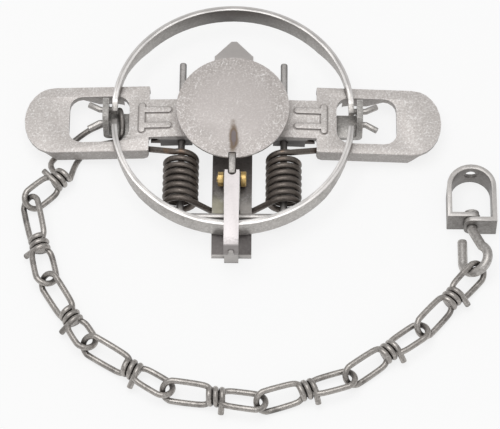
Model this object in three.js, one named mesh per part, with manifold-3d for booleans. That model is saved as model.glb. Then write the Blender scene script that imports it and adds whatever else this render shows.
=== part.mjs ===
import * as THREE from 'three';
import Module from 'manifold-3d';
import { mergeVertices } from 'three/addons/utils/BufferGeometryUtils.js';

// A coil spring trap in its set position, with its chain, swivel and hook.
// Millimetres. X runs along the levers, Y from the dog to the rear jaw, Z up from the ground.
// Places are given from the ground under the crossing of the base bar and the cross frame. At the
// end the whole trap is moved so that its origin is the middle of the front foot's underside.

const wasm = await Module();
wasm.setup();

// Fits and cuts
const clearance = 0.3;
const overrun = 4;
const merge_distance = 0.0001;
const round_segments = 20;
const arc_segments = 40;

// Base bar with its upturned posts
const bar_width = 14;
const bar_thickness = 3;
const bar_underside = 5.2;
const post_inner = 67.1;
const post_thickness = 3.2;
const post_top = 25.9;
const post_corner = 1.6;
const bar_bend = 3;

// Jaws
const jaw_pivot_height = 16.6;
const jaw_pivot_offset = 4.2;
const jaw_outer = 65.6;
const jaw_thickness = 2.9;
const jaw_grip_height = 4.2;
const jaw_band_height = 11.3;
const jaw_end_height = 6.2;
const jaw_taper_start = 46;
const jaw_taper_end = 28;
const jaw_chamfer_run = 5.5;
const jaw_chamfer_drop = 2.5;
const tang_radius = 1.7;
const tang_length = 12.5;
const tang_splay = 3.4;
const tang_dip = 0.5;

// Cross frame
const frame_width = 21.4;
const frame_thickness = 3;
const frame_front = 78.6;
const frame_rear = 58;
const foot_length = 4.6;
const foot_ramp = 8.4;
const arm_start = 24;
const arm_ramp = 8;
const tail_ramp_start = 42;
const tail_ramp = 7;
const tail_tip_length = 10;
const tail_tip_width = 3;

// Dog post at the front end of the cross frame
const dog_post_width = 7.6;
const dog_post_front = 81.4;
const dog_post_thickness = 2;
const dog_post_height = 12;
const dog_neck_width = 2.6;
const dog_axis_forward = 84.5;
const dog_axis_height = 18;
const dog_eye_wall = 1.45;

// Dog
const dog_width = 7.9;
const dog_thickness = 1.8;
const dog_front_height = 25.3;
const dog_rear_height = 22.5;
const dog_end = 37.6;
const dog_bar_radius = 1.1;
const dog_notch_depth = 3.4;
const dog_corner = 1.4;

// Spring rod
const rod_radius = 1.9;
const rod_offset = 27.7;
const rod_height = 10.4;
const rod_front = 59;
const rod_rear = 38;
const rod_bend = 5;

// Hinge brackets under the base bar
const bracket_inner = 21;
const bracket_outer = 44.6;
const bracket_wall = 1.5;
const bracket_ear_radius = 3.5;

// Coil springs
const spring_wire = 3.3;
const coil_radius = 8.2;
const coil_front = 52.4;
const coil_rear = 22.8;
const coil_turns = 7;
const curl_steps = 8;
const curl_sides = 5;
const outer_arm_reach = 47;
const outer_arm_end = 52;
const outer_arm_entry = 16.7;
const inner_arm_end = 6.5;
const inner_arm_height = 3.2;
const inner_arm_bend = 11.8;
const inner_arm_back = 2.4;
const inner_arm_share = 0.7;
const spring_gap_least = 0.4;

// Levers
const lever_thickness = 1.8;
const lever_height = 5.7;
const lever_slope = THREE.MathUtils.degToRad(2.9);
const lever_inner_end = 22;
const lever_wide_start = 45.2;
const lever_notch_width = 5.9;
const lever_corner = 0.6;
const lever_straight_end = 97;
const lever_tip = 113;
const lever_round_steps = 12;
const lever_neck_width = 24;
const lever_width = 41.4;
const lever_flange = 8.2;
const lever_flange_end = 95;
const lever_flange_corner = 3;
const lever_flange_run = 6;
const lever_neck_flange = 9.6;
const window_start = 56;
const window_end = 88.7;
const window_width = 28.8;
const window_corner = 7;
const window_rim = 3.4;
const window_rim_wall = 1.4;
const window_side_rim = 8;
const window_rim_reach = 73;
const rib_height = 0.9;
const rib_width = 3.4;
const rib_start = 47.6;
const rib_length = 18.4;
const rib_reach = 14.4;
const rib_arm_offset = 4.9;

// Pan, shank and pan bracket
const pan_radius = 30.5;
const pan_thickness = 1.6;
const pan_height = 26.5;
const pan_tilt = THREE.MathUtils.degToRad(4);
const pan_notch_depth = 3.2;
const shank_thickness = 3.4;
const shank_rear = 4;
const shank_depth = 6;
const catch_nose = 39.6;
const catch_height = 3.4;
const boss_radius = 4.2;
const bolt_forward = 37.5;
const bolt_height = 14;
const bolt_radius = 1.75;
const bolt_end = 8.2;
const bolt_head_radius = 4.2;
const bolt_head_length = 3;
const nut_radius = 3.9;
const nut_length = 3;
const ear_thickness = 2;
const ear_front = 55.5;
const ear_rear = 33;
const ear_top = 18;
const ear_base = 1.4;

// Rivets through the base bar and the cross frame
const rivet_radius = 2;
const rivet_offset = 6;
const rivet_head_radius = 3.4;
const rivet_head_height = 1.4;

// Chain of knotted double loop links
const chain_wire = 3.2;
const chain_height = 6.4;
const chain_play = 1.6;
const hook_play = 1.2;
const chain_span = 100;
const loop_half_width = 5.7;
const loop_flare = 6;
const leg_spread = 1.5;
const knot_radius = 4;
const knot_pitch = 3.5;
const knot_turns = 2.25;
const knot_tail = 8;
const loop_sides = 6;
const flat_roll = THREE.MathUtils.degToRad(-18);
const first_roll = THREE.MathUtils.degToRad(-38);
const upright_roll = THREE.MathUtils.degToRad(46);
const loop_shoulder_share = 0.92;
const loop_straight_share = 0.6;
const knot_places_shares = [
  [-0.935, -0.341], [-0.99, -0.74], [-0.86, -1.2], [-0.54, -1.541],
  [-0.078, -1.7], [0.43, -1.69], [0.875, -1.434], [1.197, -1.079],
];
const joint_places_shares = [
  [-1.086, -0.481], [-0.975, -0.96], [-0.745, -1.342], [-0.324, -1.612],
  [0.165, -1.681], [0.629, -1.53], [1.009, -1.242],
];

// First link's long loop: out from the post in half loop widths, back from the bar's middle in
// its own half width at the bar, up in its height over the bar
const first_loop_shares = [
  [5.5, -2.674, 0.26], [5, -1.888, 0.183], [3.4, -0.787, 0.183], [2, 0, 0.183], [0.5, 0.551, 0.183],
  [-0.25, 1, 0.471], [-0.5, 1, 0.644], [-0.8, 1, 0.788], [-1, 0.787, 1], [-1.2, 0, 1],
  [-1.2, -0.787, 1], [-1, -1, 0.788], [-0.7, -1, 0.5], [0, -1, 0.337], [1, -1.034, 0.183],
  [1.8, -1.18, 0.183], [3.1, -2.36, 0.183],
];

// Hook and swivel clevis
const hook_radius = 2.6;
const hook_height = 7.6;
const hook_across = 128.6;
const hook_head = 55;
const hook_head_radius = 4;
const hook_head_length = 1.3;
const hook_shank_end = 65.5;
const hook_bow = 7.8;
const hook_bow_centre = 82.4;
const hook_bow_shift = 1.5;
const hook_tail = 13.5;
const hook_roll = THREE.MathUtils.degToRad(-35);
const hook_start_angle = THREE.MathUtils.degToRad(55);
const hook_end_angle = -Math.PI;
const clevis_width = 26.4;
const clevis_height = 14.6;
const clevis_strip = 2.5;
const clevis_rear = 27.3;
const clevis_front = 62.3;
const clevis_tab_overlap = 15;
const clevis_hole = 3.3;
const clevis_tab_corner = 4.5;

const bar_top = bar_underside + bar_thickness;
const lever_neck_end = lever_wide_start - lever_notch_width;
const post_outer = post_inner + post_thickness;
const jaw_inner = jaw_outer - jaw_thickness;
const jaw_top = jaw_pivot_height + jaw_grip_height;
const jaw_bottom = jaw_top - jaw_band_height;
const chain_radius = chain_wire / 2;

// Closed three.js geometry to a solid for joining and cutting
function solidOf(geometry) {
  const bare = geometry.clone();
  bare.deleteAttribute('normal');
  bare.deleteAttribute('uv');
  const merged = mergeVertices(bare, merge_distance);
  const corners = merged.index.array;
  const kept = [];
  for (let i = 0; i < corners.length; i += 3) {
    const [a, b, c] = [corners[i], corners[i + 1], corners[i + 2]];
    if (a !== b && b !== c && c !== a) kept.push(a, b, c);
  }
  return new wasm.Manifold(new wasm.Mesh({
    numProp: 3,
    vertProperties: new Float32Array(merged.attributes.position.array),
    triVerts: new Uint32Array(kept),
  }));
}

// Solid back to a three.js geometry
function geometryOf(body) {
  const mesh = body.getMesh();
  const geometry = new THREE.BufferGeometry();
  geometry.setAttribute('position', new THREE.BufferAttribute(new Float32Array(mesh.vertProperties), 3));
  geometry.setIndex(new THREE.BufferAttribute(new Uint32Array(mesh.triVerts), 1));
  geometry.computeVertexNormals();
  return geometry;
}

function outline(points) {
  return new THREE.Shape(points.map(([a, b]) => new THREE.Vector2(a, b)));
}

function extruded(shape, depth, curve_steps = round_segments) {
  return new THREE.ExtrudeGeometry(shape, { depth, bevelEnabled: false, curveSegments: curve_steps });
}

// Plate lying flat: outline in X and Y, from bottom to top
function plateUp(shape, bottom, top) {
  const geometry = extruded(shape, top - bottom);
  geometry.translate(0, 0, bottom);
  return solidOf(geometry);
}

// Plate standing along the length: outline in Y and Z, from one X to another
function plateAcross(points, from, to) {
  const shape = points instanceof THREE.Shape ? points : outline(points);
  const geometry = extruded(shape, to - from);
  const turn = new THREE.Matrix4().makeBasis(
    new THREE.Vector3(0, 1, 0), new THREE.Vector3(0, 0, 1), new THREE.Vector3(1, 0, 0));
  geometry.applyMatrix4(turn);
  geometry.translate(from, 0, 0);
  return solidOf(geometry);
}

// Plate standing across: outline in X and Z, from one Y to another
function plateAlong(points, from, to) {
  const shape = points instanceof THREE.Shape ? points : outline(points);
  const geometry = extruded(shape, to - from);
  const turn = new THREE.Matrix4().makeBasis(
    new THREE.Vector3(1, 0, 0), new THREE.Vector3(0, 0, 1), new THREE.Vector3(0, -1, 0));
  geometry.applyMatrix4(turn);
  geometry.translate(0, to, 0);
  return solidOf(geometry);
}

function block(x_from, x_to, y_from, y_to, z_from, z_to) {
  const geometry = new THREE.BoxGeometry(x_to - x_from, y_to - y_from, z_to - z_from);
  geometry.translate((x_from + x_to) / 2, (y_from + y_to) / 2, (z_from + z_to) / 2);
  return solidOf(geometry);
}

// Round bar along X between two places
function barAlongX(radius, from, to, y, z, segments = round_segments) {
  const geometry = new THREE.CylinderGeometry(radius, radius, to - from, segments);
  geometry.rotateZ(-Math.PI / 2);
  geometry.translate((from + to) / 2, y, z);
  return solidOf(geometry);
}

function barAlongY(radius, from, to, x, z, segments = round_segments) {
  const geometry = new THREE.CylinderGeometry(radius, radius, to - from, segments);
  geometry.translate(x, (from + to) / 2, z);
  return solidOf(geometry);
}

function barAlongZ(radius, from, to, x, y, segments = round_segments) {
  const geometry = new THREE.CylinderGeometry(radius, radius, to - from, segments);
  geometry.rotateX(Math.PI / 2);
  geometry.translate(x, y, (from + to) / 2);
  return solidOf(geometry);
}

// Round wire swept through points, with flat closed ends and no twist
function wire(points, radius, sides) {
  const count = points.length;
  const positions = [];
  const faces = [];
  const directions = points.map((_, i) => {
    const before = points[Math.max(i - 1, 0)];
    const after = points[Math.min(i + 1, count - 1)];
    return after.clone().sub(before).normalize();
  });
  let side = new THREE.Vector3(0, 0, 1);
  if (Math.abs(side.dot(directions[0])) > Math.SQRT1_2) side = new THREE.Vector3(0, 1, 0);
  points.forEach((point, i) => {
    const along = directions[i];
    side = side.clone().addScaledVector(along, -side.dot(along)).normalize();
    const other = new THREE.Vector3().crossVectors(along, side);
    for (let k = 0; k < sides; k++) {
      const angle = (2 * Math.PI * k) / sides;
      const corner = point.clone()
        .addScaledVector(side, radius * Math.cos(angle))
        .addScaledVector(other, radius * Math.sin(angle));
      positions.push(corner.x, corner.y, corner.z);
    }
  });
  for (let i = 0; i < count - 1; i++) {
    for (let k = 0; k < sides; k++) {
      const a = i * sides + k;
      const b = i * sides + (k + 1) % sides;
      faces.push(a, b, b + sides, a, b + sides, a + sides);
    }
  }
  const last = (count - 1) * sides;
  for (let k = 1; k < sides - 1; k++) {
    faces.push(0, k + 1, k);
    faces.push(last, last + k, last + k + 1);
  }
  const geometry = new THREE.BufferGeometry();
  geometry.setAttribute('position', new THREE.Float32BufferAttribute(positions, 3));
  geometry.setIndex(faces);
  return geometry;
}

function wireSolid(points, radius, sides) {
  return solidOf(wire(points, radius, sides));
}

// The other hand of a piece, mirrored across the YZ plane
function mirrored(geometry) {
  const copy = geometry.clone();
  copy.scale(-1, 1, 1);
  const corners = copy.index.array;
  for (let i = 0; i < corners.length; i += 3) {
    [corners[i], corners[i + 1]] = [corners[i + 1], corners[i]];
  }
  copy.computeVertexNormals();
  return copy;
}

function arcPoints(centre_a, centre_b, radius, from, to, steps) {
  return Array.from({ length: steps + 1 }, (_, i) => {
    const angle = from + ((to - from) * i) / steps;
    return [centre_a + radius * Math.cos(angle), centre_b + radius * Math.sin(angle)];
  });
}

// Base bar: a flat bar with both ends turned up into posts that carry the jaws
function baseBar() {
  const half = bar_width / 2;
  const inner_bend = bar_bend - bar_thickness / 2;
  const quarter = Math.PI / 2;
  const right = [
    ...arcPoints(post_outer - bar_bend, bar_underside + bar_bend, bar_bend, -quarter, 0, 4),
    [post_outer, post_top], [post_inner, post_top],
    ...arcPoints(post_inner - inner_bend, bar_top + inner_bend, inner_bend, 0, -quarter, 3),
  ];
  const left = [...right].reverse().map(([x, z]) => [-x, z]);
  let body = plateAlong([...right, ...left], -half, half);
  const ends = [
    [-half, 0], [half, 0], [half, post_top - post_corner], [half - post_corner, post_top],
    [post_corner - half, post_top], [-half, post_top - post_corner],
  ];
  body = body.intersect(plateAcross(ends, -post_outer - overrun, post_outer + overrun));
  for (const y of [-jaw_pivot_offset, jaw_pivot_offset]) {
    body = body.subtract(barAlongX(
      tang_radius + clearance, -post_outer - overrun, post_outer + overrun, y, jaw_pivot_height));
  }
  for (const x of [-rivet_offset, rivet_offset]) {
    body = body.subtract(barAlongZ(rivet_radius + clearance, 0, bar_top + overrun, x, 0));
  }
  return geometryOf(body);
}

// Cross frame: front foot, raised front arm, middle under the base bar, and a pointed tail
function crossFrame() {
  const half = frame_width / 2;
  const arm = bar_underside;
  const middle = bar_underside - frame_thickness;
  const underside = [
    [-frame_front, 0], [foot_length - frame_front, 0],
    [foot_length + foot_ramp - frame_front, arm], [-arm_start, arm], [arm_ramp - arm_start, middle],
    [tail_ramp_start, middle], [tail_ramp_start + tail_ramp, 0], [frame_rear, 0],
  ];
  const topside = [...underside].reverse().map(([y, z]) => [y, z + frame_thickness]);
  let body = plateAcross([...underside, ...topside], -half, half);
  const tip = tail_tip_width / 2;
  const plan = outline([
    [-half, -frame_front], [half, -frame_front], [half, frame_rear - tail_tip_length],
    [tip, frame_rear], [-tip, frame_rear], [-half, frame_rear - tail_tip_length],
  ]);
  body = body.intersect(plateUp(plan, -overrun, bar_top + overrun));
  for (const x of [-rivet_offset, rivet_offset]) {
    body = body.subtract(barAlongZ(rivet_radius + clearance, -overrun, bar_top + overrun, x, 0));
  }
  return geometryOf(body.add(dogPost()).subtract(dogEyeBore()));
}

// Post with an eye that the dog's cross bar turns in
function dogPost() {
  const half = dog_post_width / 2;
  const back = dog_post_front - dog_post_thickness;
  const root = frame_front - dog_post_thickness / 2;
  const post = plateAcross([
    [-root, 0], [-root, frame_thickness], [-back, frame_thickness], [-back, dog_post_height],
    [-dog_post_front, dog_post_height], [-dog_post_front, 0],
  ], -half, half);
  const eye_radius = dog_bar_radius + clearance + dog_eye_wall;
  const eye = barAlongX(
    eye_radius, -dog_neck_width / 2, dog_neck_width / 2, -dog_axis_forward, dog_axis_height);
  const neck_foot = dog_post_height - frame_thickness;
  const neck = plateAcross([
    [-dog_post_front, neck_foot], [-back, neck_foot], [-back, dog_post_height],
    [dog_eye_wall + dog_bar_radius - dog_axis_forward, dog_axis_height],
    [dog_eye_wall - dog_axis_forward, dog_axis_height - dog_eye_wall - clearance],
    [dog_thickness + clearance - dog_axis_forward, dog_axis_height - eye_radius],
    [-dog_post_front, dog_post_height],
  ], -dog_neck_width / 2, dog_neck_width / 2);
  return post.add(neck).add(eye);
}

function dogEyeBore() {
  return barAlongX(dog_bar_radius + clearance, -frame_width, frame_width, -dog_axis_forward,
    dog_axis_height);
}

// Rivet with a low round head above the bar and one under the frame
function rivet() {
  const top = bar_top;
  const bottom = bar_underside - frame_thickness;
  const crown = rivet_head_radius / 2;
  const profile = [
    [0, bottom - rivet_head_height], [crown, bottom - rivet_head_height], [rivet_head_radius, bottom],
    [rivet_radius, bottom], [rivet_radius, top], [rivet_head_radius, top],
    [crown, top + rivet_head_height], [0, top + rivet_head_height],
  ];
  const lathe = new THREE.LatheGeometry(profile.map(([r, z]) => new THREE.Vector2(r, z)), round_segments);
  lathe.rotateX(Math.PI / 2);
  return geometryOf(solidOf(lathe));
}

// Hinge bracket: a U under the base bar whose two ears hold one leg of the spring rod
function hingeBracket() {
  const inner = bar_width / 2 + clearance;
  const outer = inner + bracket_wall;
  const bottom = bar_underside - bracket_wall;
  let body = block(bracket_inner, bracket_outer, -outer, outer, bottom, bar_underside);
  for (const y of [-outer, inner]) {
    const ear = plateAlong([
      [bracket_inner, bottom], [bracket_outer, bottom], [bracket_outer, bar_underside],
      [rod_offset + bracket_ear_radius, rod_height], [rod_offset - bracket_ear_radius, rod_height],
      [bracket_inner, bar_underside],
    ], y, y + bracket_wall);
    body = body.add(ear).add(barAlongY(bracket_ear_radius, y, y + bracket_wall, rod_offset, rod_height));
  }
  return geometryOf(body.subtract(barAlongY(
    rod_radius + clearance, -bar_width, bar_width, rod_offset, rod_height)));
}

// Spring rod: one round rod bent to a U, its legs through the brackets, levers and coils
function springRod() {
  const corner = (side) => arcPoints(
    side * (rod_offset - rod_bend), rod_bend - rod_front, rod_bend,
    side > 0 ? 0 : Math.PI, side > 0 ? -Math.PI / 2 : 1.5 * Math.PI, 5);
  const right = [[rod_offset, rod_rear], ...corner(1)];
  const left = [...corner(-1)].reverse();
  const route = [...right, ...left, [-rod_offset, rod_rear]];
  return geometryOf(wireSolid(
    route.map(([x, y]) => new THREE.Vector3(x, y, rod_height)), rod_radius, 10));
}

// Coil spring: one wire from the flat end under the cross frame, round the rod,
// then out and back under the wide part of the lever
function springRoute() {
  const reach = outer_arm_reach - rod_offset;
  const last = Math.PI - Math.acos(coil_radius / reach);
  const drop = new THREE.Vector2(rod_offset - inner_arm_bend, rod_height - inner_arm_height);
  const lean = Math.atan2(drop.y, drop.x);
  const first = Math.acos(coil_radius / drop.length()) - lean;
  const sweep = last - first + 2 * Math.PI * coil_turns;
  const steps = Math.round((sweep / (2 * Math.PI)) * curl_steps);
  const points = [
    new THREE.Vector3(inner_arm_end, inner_arm_back - coil_front, inner_arm_height),
    new THREE.Vector3(
      inner_arm_bend - spring_wire, inner_arm_back * inner_arm_share - coil_front, inner_arm_height),
    new THREE.Vector3(
      inner_arm_bend, inner_arm_back / 2 - coil_front, inner_arm_height + spring_wire / 4),
  ];
  for (let i = 0; i <= steps; i++) {
    const angle = first + (sweep * i) / steps;
    points.push(new THREE.Vector3(
      rod_offset - coil_radius * Math.cos(angle),
      -coil_front + ((coil_front - coil_rear) * i) / steps,
      rod_height + coil_radius * Math.sin(angle)));
  }
  const leave = points[points.length - 1];
  const entry = new THREE.Vector3(outer_arm_reach, -outer_arm_entry, rod_height);
  const share = (outer_arm_end - leave.x) / (entry.x - leave.x);
  points.push(leave.clone().lerp(entry, 0.5));
  points.push(leave.clone().lerp(entry, share));
  return points;
}

// Least gap between one stretch of a wire and another, away from its own bends
function leastGap(points, diameter) {
  const fine = [];
  for (let i = 0; i < points.length - 1; i++) {
    for (let k = 0; k < 4; k++) fine.push(points[i].clone().lerp(points[i + 1], k / 4));
  }
  const apart = 2 * curl_steps;
  let least = Infinity;
  for (let i = 0; i < fine.length; i++) {
    for (let k = i + apart; k < fine.length; k++) {
      least = Math.min(least, fine[i].distanceTo(fine[k]));
    }
  }
  return least - diameter;
}

function coilSpring() {
  const points = springRoute();
  const gap = leastGap(points, spring_wire);
  console.log(`spring wire clears itself by ${gap.toFixed(2)} mm`);
  if (gap < spring_gap_least) console.log('spring turns are too close');
  return geometryOf(wireSolid(points, spring_wire / 2, curl_sides));
}

// Lever: a pressed channel with a narrow hinged neck and a wide end with a window for the post.
// Built round the rod's axis as its origin, with the plate level.
function lever() {
  const top = lever_height;
  const under = top - lever_thickness;
  const neck = lever_neck_width / 2;
  const wide = lever_width / 2;
  const at = (x) => x - rod_offset;
  const tip_run = lever_tip - lever_straight_end;
  const round_end = Array.from({ length: lever_round_steps + 1 }, (_, i) => {
    const angle = Math.PI / 2 - (Math.PI * i) / lever_round_steps;
    return [at(lever_straight_end + tip_run * Math.cos(angle)), wide * Math.sin(angle)];
  });
  const half = [
    [at(lever_inner_end), neck], [at(lever_wide_start), neck],
    [at(lever_wide_start), wide - lever_corner], [at(lever_wide_start) + lever_corner, wide],
  ];
  const other = [...half].reverse().map(([x, y]) => [x, -y]);
  const plan = outline([...half, ...round_end, ...other].reverse());
  let body = plateUp(plan, under, top);
  const bottom = top - lever_flange;
  const flange = [
    [at(lever_wide_start), top], [at(lever_wide_start), bottom + lever_flange_corner],
    [at(lever_wide_start) + lever_flange_corner / 3, bottom + lever_flange_corner / 3],
    [at(lever_wide_start) + lever_flange_corner, bottom], [at(lever_flange_end), bottom],
    [at(lever_flange_end) + lever_flange_run, under], [at(lever_flange_end) + lever_flange_run, top],
  ];
  const notch = lever_notch_width / 2;
  const arch = outline([
    [at(lever_neck_end), under - lever_neck_flange], [at(lever_wide_start), under - lever_neck_flange],
    ...arcPoints(at(lever_neck_end) + notch, under - notch, notch, 0, Math.PI, 8),
  ]);
  for (const side of [-1, 1]) {
    const y_out = side * wide;
    const y_in = side * (wide - lever_thickness);
    body = body.add(plateAlong(flange, Math.min(y_out, y_in), Math.max(y_out, y_in))
      .intersect(plateUp(plan, bottom - overrun, top)));
    const neck_out = side * neck;
    const neck_in = side * (neck - lever_thickness);
    const from = Math.min(neck_out, neck_in);
    const to = Math.max(neck_out, neck_in);
    const wall = block(at(lever_inner_end), at(lever_wide_start), from, to, top - lever_neck_flange, top);
    body = body.add(wall.subtract(plateAlong(arch, from - clearance, to + clearance)));
  }
  const rim_start = at(window_start + window_corner / 2);
  const rim_end = at(window_end - window_corner);
  const deep_rim = [
    [rim_start, top], [rim_start, top - window_side_rim],
    [at(window_rim_reach), top - window_side_rim], [rim_end, top - window_rim], [rim_end, top],
  ];
  body = body.add(windowRim(window_rim_wall, top - window_rim, top));
  body = body.add(windowRim(window_rim_wall, top - window_side_rim, top)
    .intersect(plateAlong(deep_rim, -lever_width, lever_width)));
  body = body.subtract(windowRim(0, top - lever_flange, top + overrun));
  body = body.subtract(barAlongY(rod_radius + clearance, -lever_width, lever_width, 0, 0));
  body = body.add(leverRibs(top, at));
  return geometryOf(body);
}

// Window outline with round corners, grown by a wall
function windowRim(wall, bottom, top) {
  const x_from = window_start - rod_offset - wall;
  const x_to = window_end - rod_offset + wall;
  const y_to = window_width / 2 + wall;
  const r = window_corner + wall;
  const quarter = Math.PI / 2;
  const points = [
    ...arcPoints(x_to - r, y_to - r, r, 0, quarter, 4),
    ...arcPoints(x_from + r, y_to - r, r, quarter, Math.PI, 4),
    ...arcPoints(x_from + r, r - y_to, r, Math.PI, Math.PI + quarter, 4),
    ...arcPoints(x_to - r, r - y_to, r, -quarter, 0, 4),
  ];
  return plateUp(outline(points), bottom, top);
}

// Stiffening ribs pressed up between the neck and the window, in the form of an E
function leverRibs(top, at) {
  const half = rib_length / 2;
  const sunk = top - lever_thickness / 2;
  const start = at(rib_start);
  const round = rib_width / 2;
  const crown = top + rib_height;
  let body = block(start, start + rib_width, round - half, half - round, sunk, crown);
  for (const side of [-1, 1]) {
    const arm = side * rib_arm_offset;
    body = body.add(barAlongZ(round, sunk, crown, start + round, side * (half - round), 12));
    body = body.add(block(
      start - rib_reach + round, start + round, arm - round, arm + round, sunk, crown));
    body = body.add(barAlongZ(round, sunk, crown, start - rib_reach + round, arm, 12));
  }
  return body;
}

// Jaw: half a hoop of band standing on edge, whose tangs turn in the posts
function jaw() {
  const middle = -jaw_pivot_offset;
  const end = middle + tang_radius;
  const ring = outline([
    [jaw_outer, end],
    ...arcPoints(0, middle, jaw_outer, 0, -Math.PI, arc_segments),
    [-jaw_outer, end], [-jaw_inner, end],
    ...arcPoints(0, middle, jaw_inner, -Math.PI, 0, arc_segments),
    [jaw_inner, end],
  ].reverse());
  let body = plateUp(ring, jaw_bottom, jaw_top);
  const reach = jaw_outer + overrun;
  const raised = jaw_top - jaw_end_height;
  body = body.subtract(plateAcross([
    [-jaw_taper_start, jaw_bottom - overrun], [overrun, jaw_bottom - overrun], [overrun, raised],
    [-jaw_taper_end, raised], [-jaw_taper_start, jaw_bottom],
  ], -reach, reach));
  body = body.subtract(plateAcross([
    [end - jaw_chamfer_run, jaw_top], [end, jaw_top - jaw_chamfer_drop],
    [end + overrun, jaw_top - jaw_chamfer_drop], [end + overrun, jaw_top + overrun],
    [end - jaw_chamfer_run, jaw_top + overrun],
  ], -reach, reach));
  for (const side of [-1, 1]) {
    const tang = [
      new THREE.Vector3(side * (jaw_inner + jaw_thickness / 2), middle, jaw_pivot_height),
      new THREE.Vector3(side * post_outer, middle, jaw_pivot_height),
      new THREE.Vector3(side * (post_outer + tang_radius), middle, jaw_pivot_height),
      new THREE.Vector3(side * (jaw_outer + tang_length), middle - tang_splay, jaw_pivot_height - tang_dip),
    ];
    body = body.add(wireSolid(tang, tang_radius, 10));
  }
  return geometryOf(body);
}

// Dog: a flat strip from its cross bar at the front post, over the front jaw, to a forked end
function dog() {
  const half = dog_width / 2;
  const inner = dog_thickness / 2 - dog_axis_forward;
  const outer = -dog_thickness / 2 - dog_axis_forward;
  const foot = dog_axis_height - dog_bar_radius - dog_thickness / 2;
  const corner = dog_front_height + dog_thickness;
  let body = plateAcross([
    [inner, foot], [inner, dog_front_height], [-dog_end, dog_rear_height],
    [-dog_end, dog_rear_height + dog_thickness], [outer + dog_corner, corner],
    [outer + dog_corner / 4, corner - dog_corner / 4], [outer, corner - dog_corner], [outer, foot],
  ], -half, half);
  const slot = dog_neck_width / 2 + clearance;
  const slot_top = dog_axis_height + dog_bar_radius + dog_eye_wall + 3 * clearance;
  body = body.subtract(block(-slot, slot, outer - overrun, inner + overrun, foot - overrun, slot_top));
  body = body.add(barAlongX(dog_bar_radius, -half + clearance, half - clearance,
    -dog_axis_forward, dog_axis_height));
  const notch = shank_thickness / 2 + 2 * clearance;
  const notch_end = dog_notch_depth + dog_end - notch;
  body = body.subtract(block(
    -notch, notch, -notch_end, overrun - dog_end, dog_rear_height - overrun, corner + overrun));
  body = body.subtract(barAlongZ(notch, dog_rear_height - overrun, corner + overrun, 0, -notch_end));
  return geometryOf(body);
}

// Pan: the round trigger plate, with a notch at its front edge for the catch
function pan() {
  let body = barAlongZ(pan_radius, -pan_thickness / 2, pan_thickness / 2, 0, 0, 56);
  const notch = shank_thickness / 2 + clearance;
  body = body.subtract(block(
    -notch, notch, -pan_radius - overrun, pan_notch_depth - pan_radius, -overrun, overrun));
  return geometryOf(body);
}

// Place of the bolt as seen from the tilted pan
function boltInPan() {
  const y = -bolt_forward;
  const z = bolt_height - pan_height;
  return [
    y * Math.cos(pan_tilt) + z * Math.sin(pan_tilt),
    z * Math.cos(pan_tilt) - y * Math.sin(pan_tilt),
  ];
}

// Shank: an upright plate under the pan, with the catch at its front and a boss for the bolt
function panShank() {
  const [bolt_y, bolt_z] = boltInPan();
  const half = shank_thickness / 2;
  const seat = -pan_thickness / 2 - clearance;
  const rise = -pan_radius + pan_notch_depth - clearance;
  const nose = pan_thickness / 4;
  let body = plateAcross([
    [-shank_rear, seat], [rise, seat], [rise, pan_thickness / 2 - nose], [nose - catch_nose, 0],
    [-catch_nose, -nose - clearance], [-catch_nose, -catch_height],
    [bolt_y - boss_radius / 2, bolt_z + boss_radius / 2], [bolt_y, bolt_z],
    [bolt_y + boss_radius, bolt_z], [rise, seat - shank_depth], [-shank_rear, seat - shank_depth / 2],
  ], -half, half);
  body = body.add(barAlongX(boss_radius, -half, half, bolt_y, bolt_z));
  body = body.subtract(barAlongX(bolt_radius + clearance, -overrun, overrun, bolt_y, bolt_z));
  return geometryOf(body);
}

// Pan bracket: a U standing on the front arm, its two ears either side of the shank
function panBracket() {
  const inner = shank_thickness / 2 + 2 * clearance;
  const outer = inner + ear_thickness;
  let body = block(-outer, outer, -ear_front, -ear_rear, bar_top, bar_top + ear_base);
  const slope_top = bolt_height - ear_thickness;
  for (const x of [-outer, inner]) {
    body = body.add(plateAcross([
      [-ear_front, bar_top], [-ear_rear, bar_top], [-ear_rear, bolt_height],
      [-ear_rear - ear_thickness, ear_top], [-bolt_forward - boss_radius, ear_top],
      [-ear_front, slope_top],
    ], x, x + ear_thickness));
  }
  return geometryOf(body.subtract(barAlongX(
    bolt_radius + clearance, -overrun - outer, overrun + outer, -bolt_forward, bolt_height)));
}

const ear_outer = shank_thickness / 2 + 2 * clearance + ear_thickness;

function panBolt() {
  const head = ear_outer + clearance;
  const shank = barAlongX(bolt_radius, -bolt_end, head + bolt_radius, -bolt_forward, bolt_height);
  return geometryOf(shank.add(barAlongX(
    bolt_head_radius, head, head + bolt_head_length, -bolt_forward, bolt_height)));
}

function panNut() {
  const face = ear_outer + clearance;
  const body = barAlongX(nut_radius, -face - nut_length, -face, -bolt_forward, bolt_height, 6);
  return geometryOf(body.subtract(barAlongX(
    bolt_radius + clearance, -overrun - bolt_end, 0, -bolt_forward, bolt_height)));
}

// Half of a link's wire: out from the knot on one side, round the end and back on the other
function loopRoute(length, roll) {
  const straight = length - loop_half_width;
  const side = (sign) => [
    [0, sign * leg_spread],
    [loop_flare / 2, sign * (leg_spread + loop_half_width) / 2],
    [loop_flare, sign * loop_half_width * loop_shoulder_share],
    [Math.max(loop_flare, straight * loop_straight_share), sign * loop_half_width],
  ];
  const bend = arcPoints(straight, 0, loop_half_width, -Math.PI / 2, Math.PI / 2, 8);
  const flat = [...side(-1), ...bend, ...side(1).reverse()];
  return flat.map(([x, y]) => new THREE.Vector3(x, y * Math.cos(roll), y * Math.sin(roll)));
}

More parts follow.
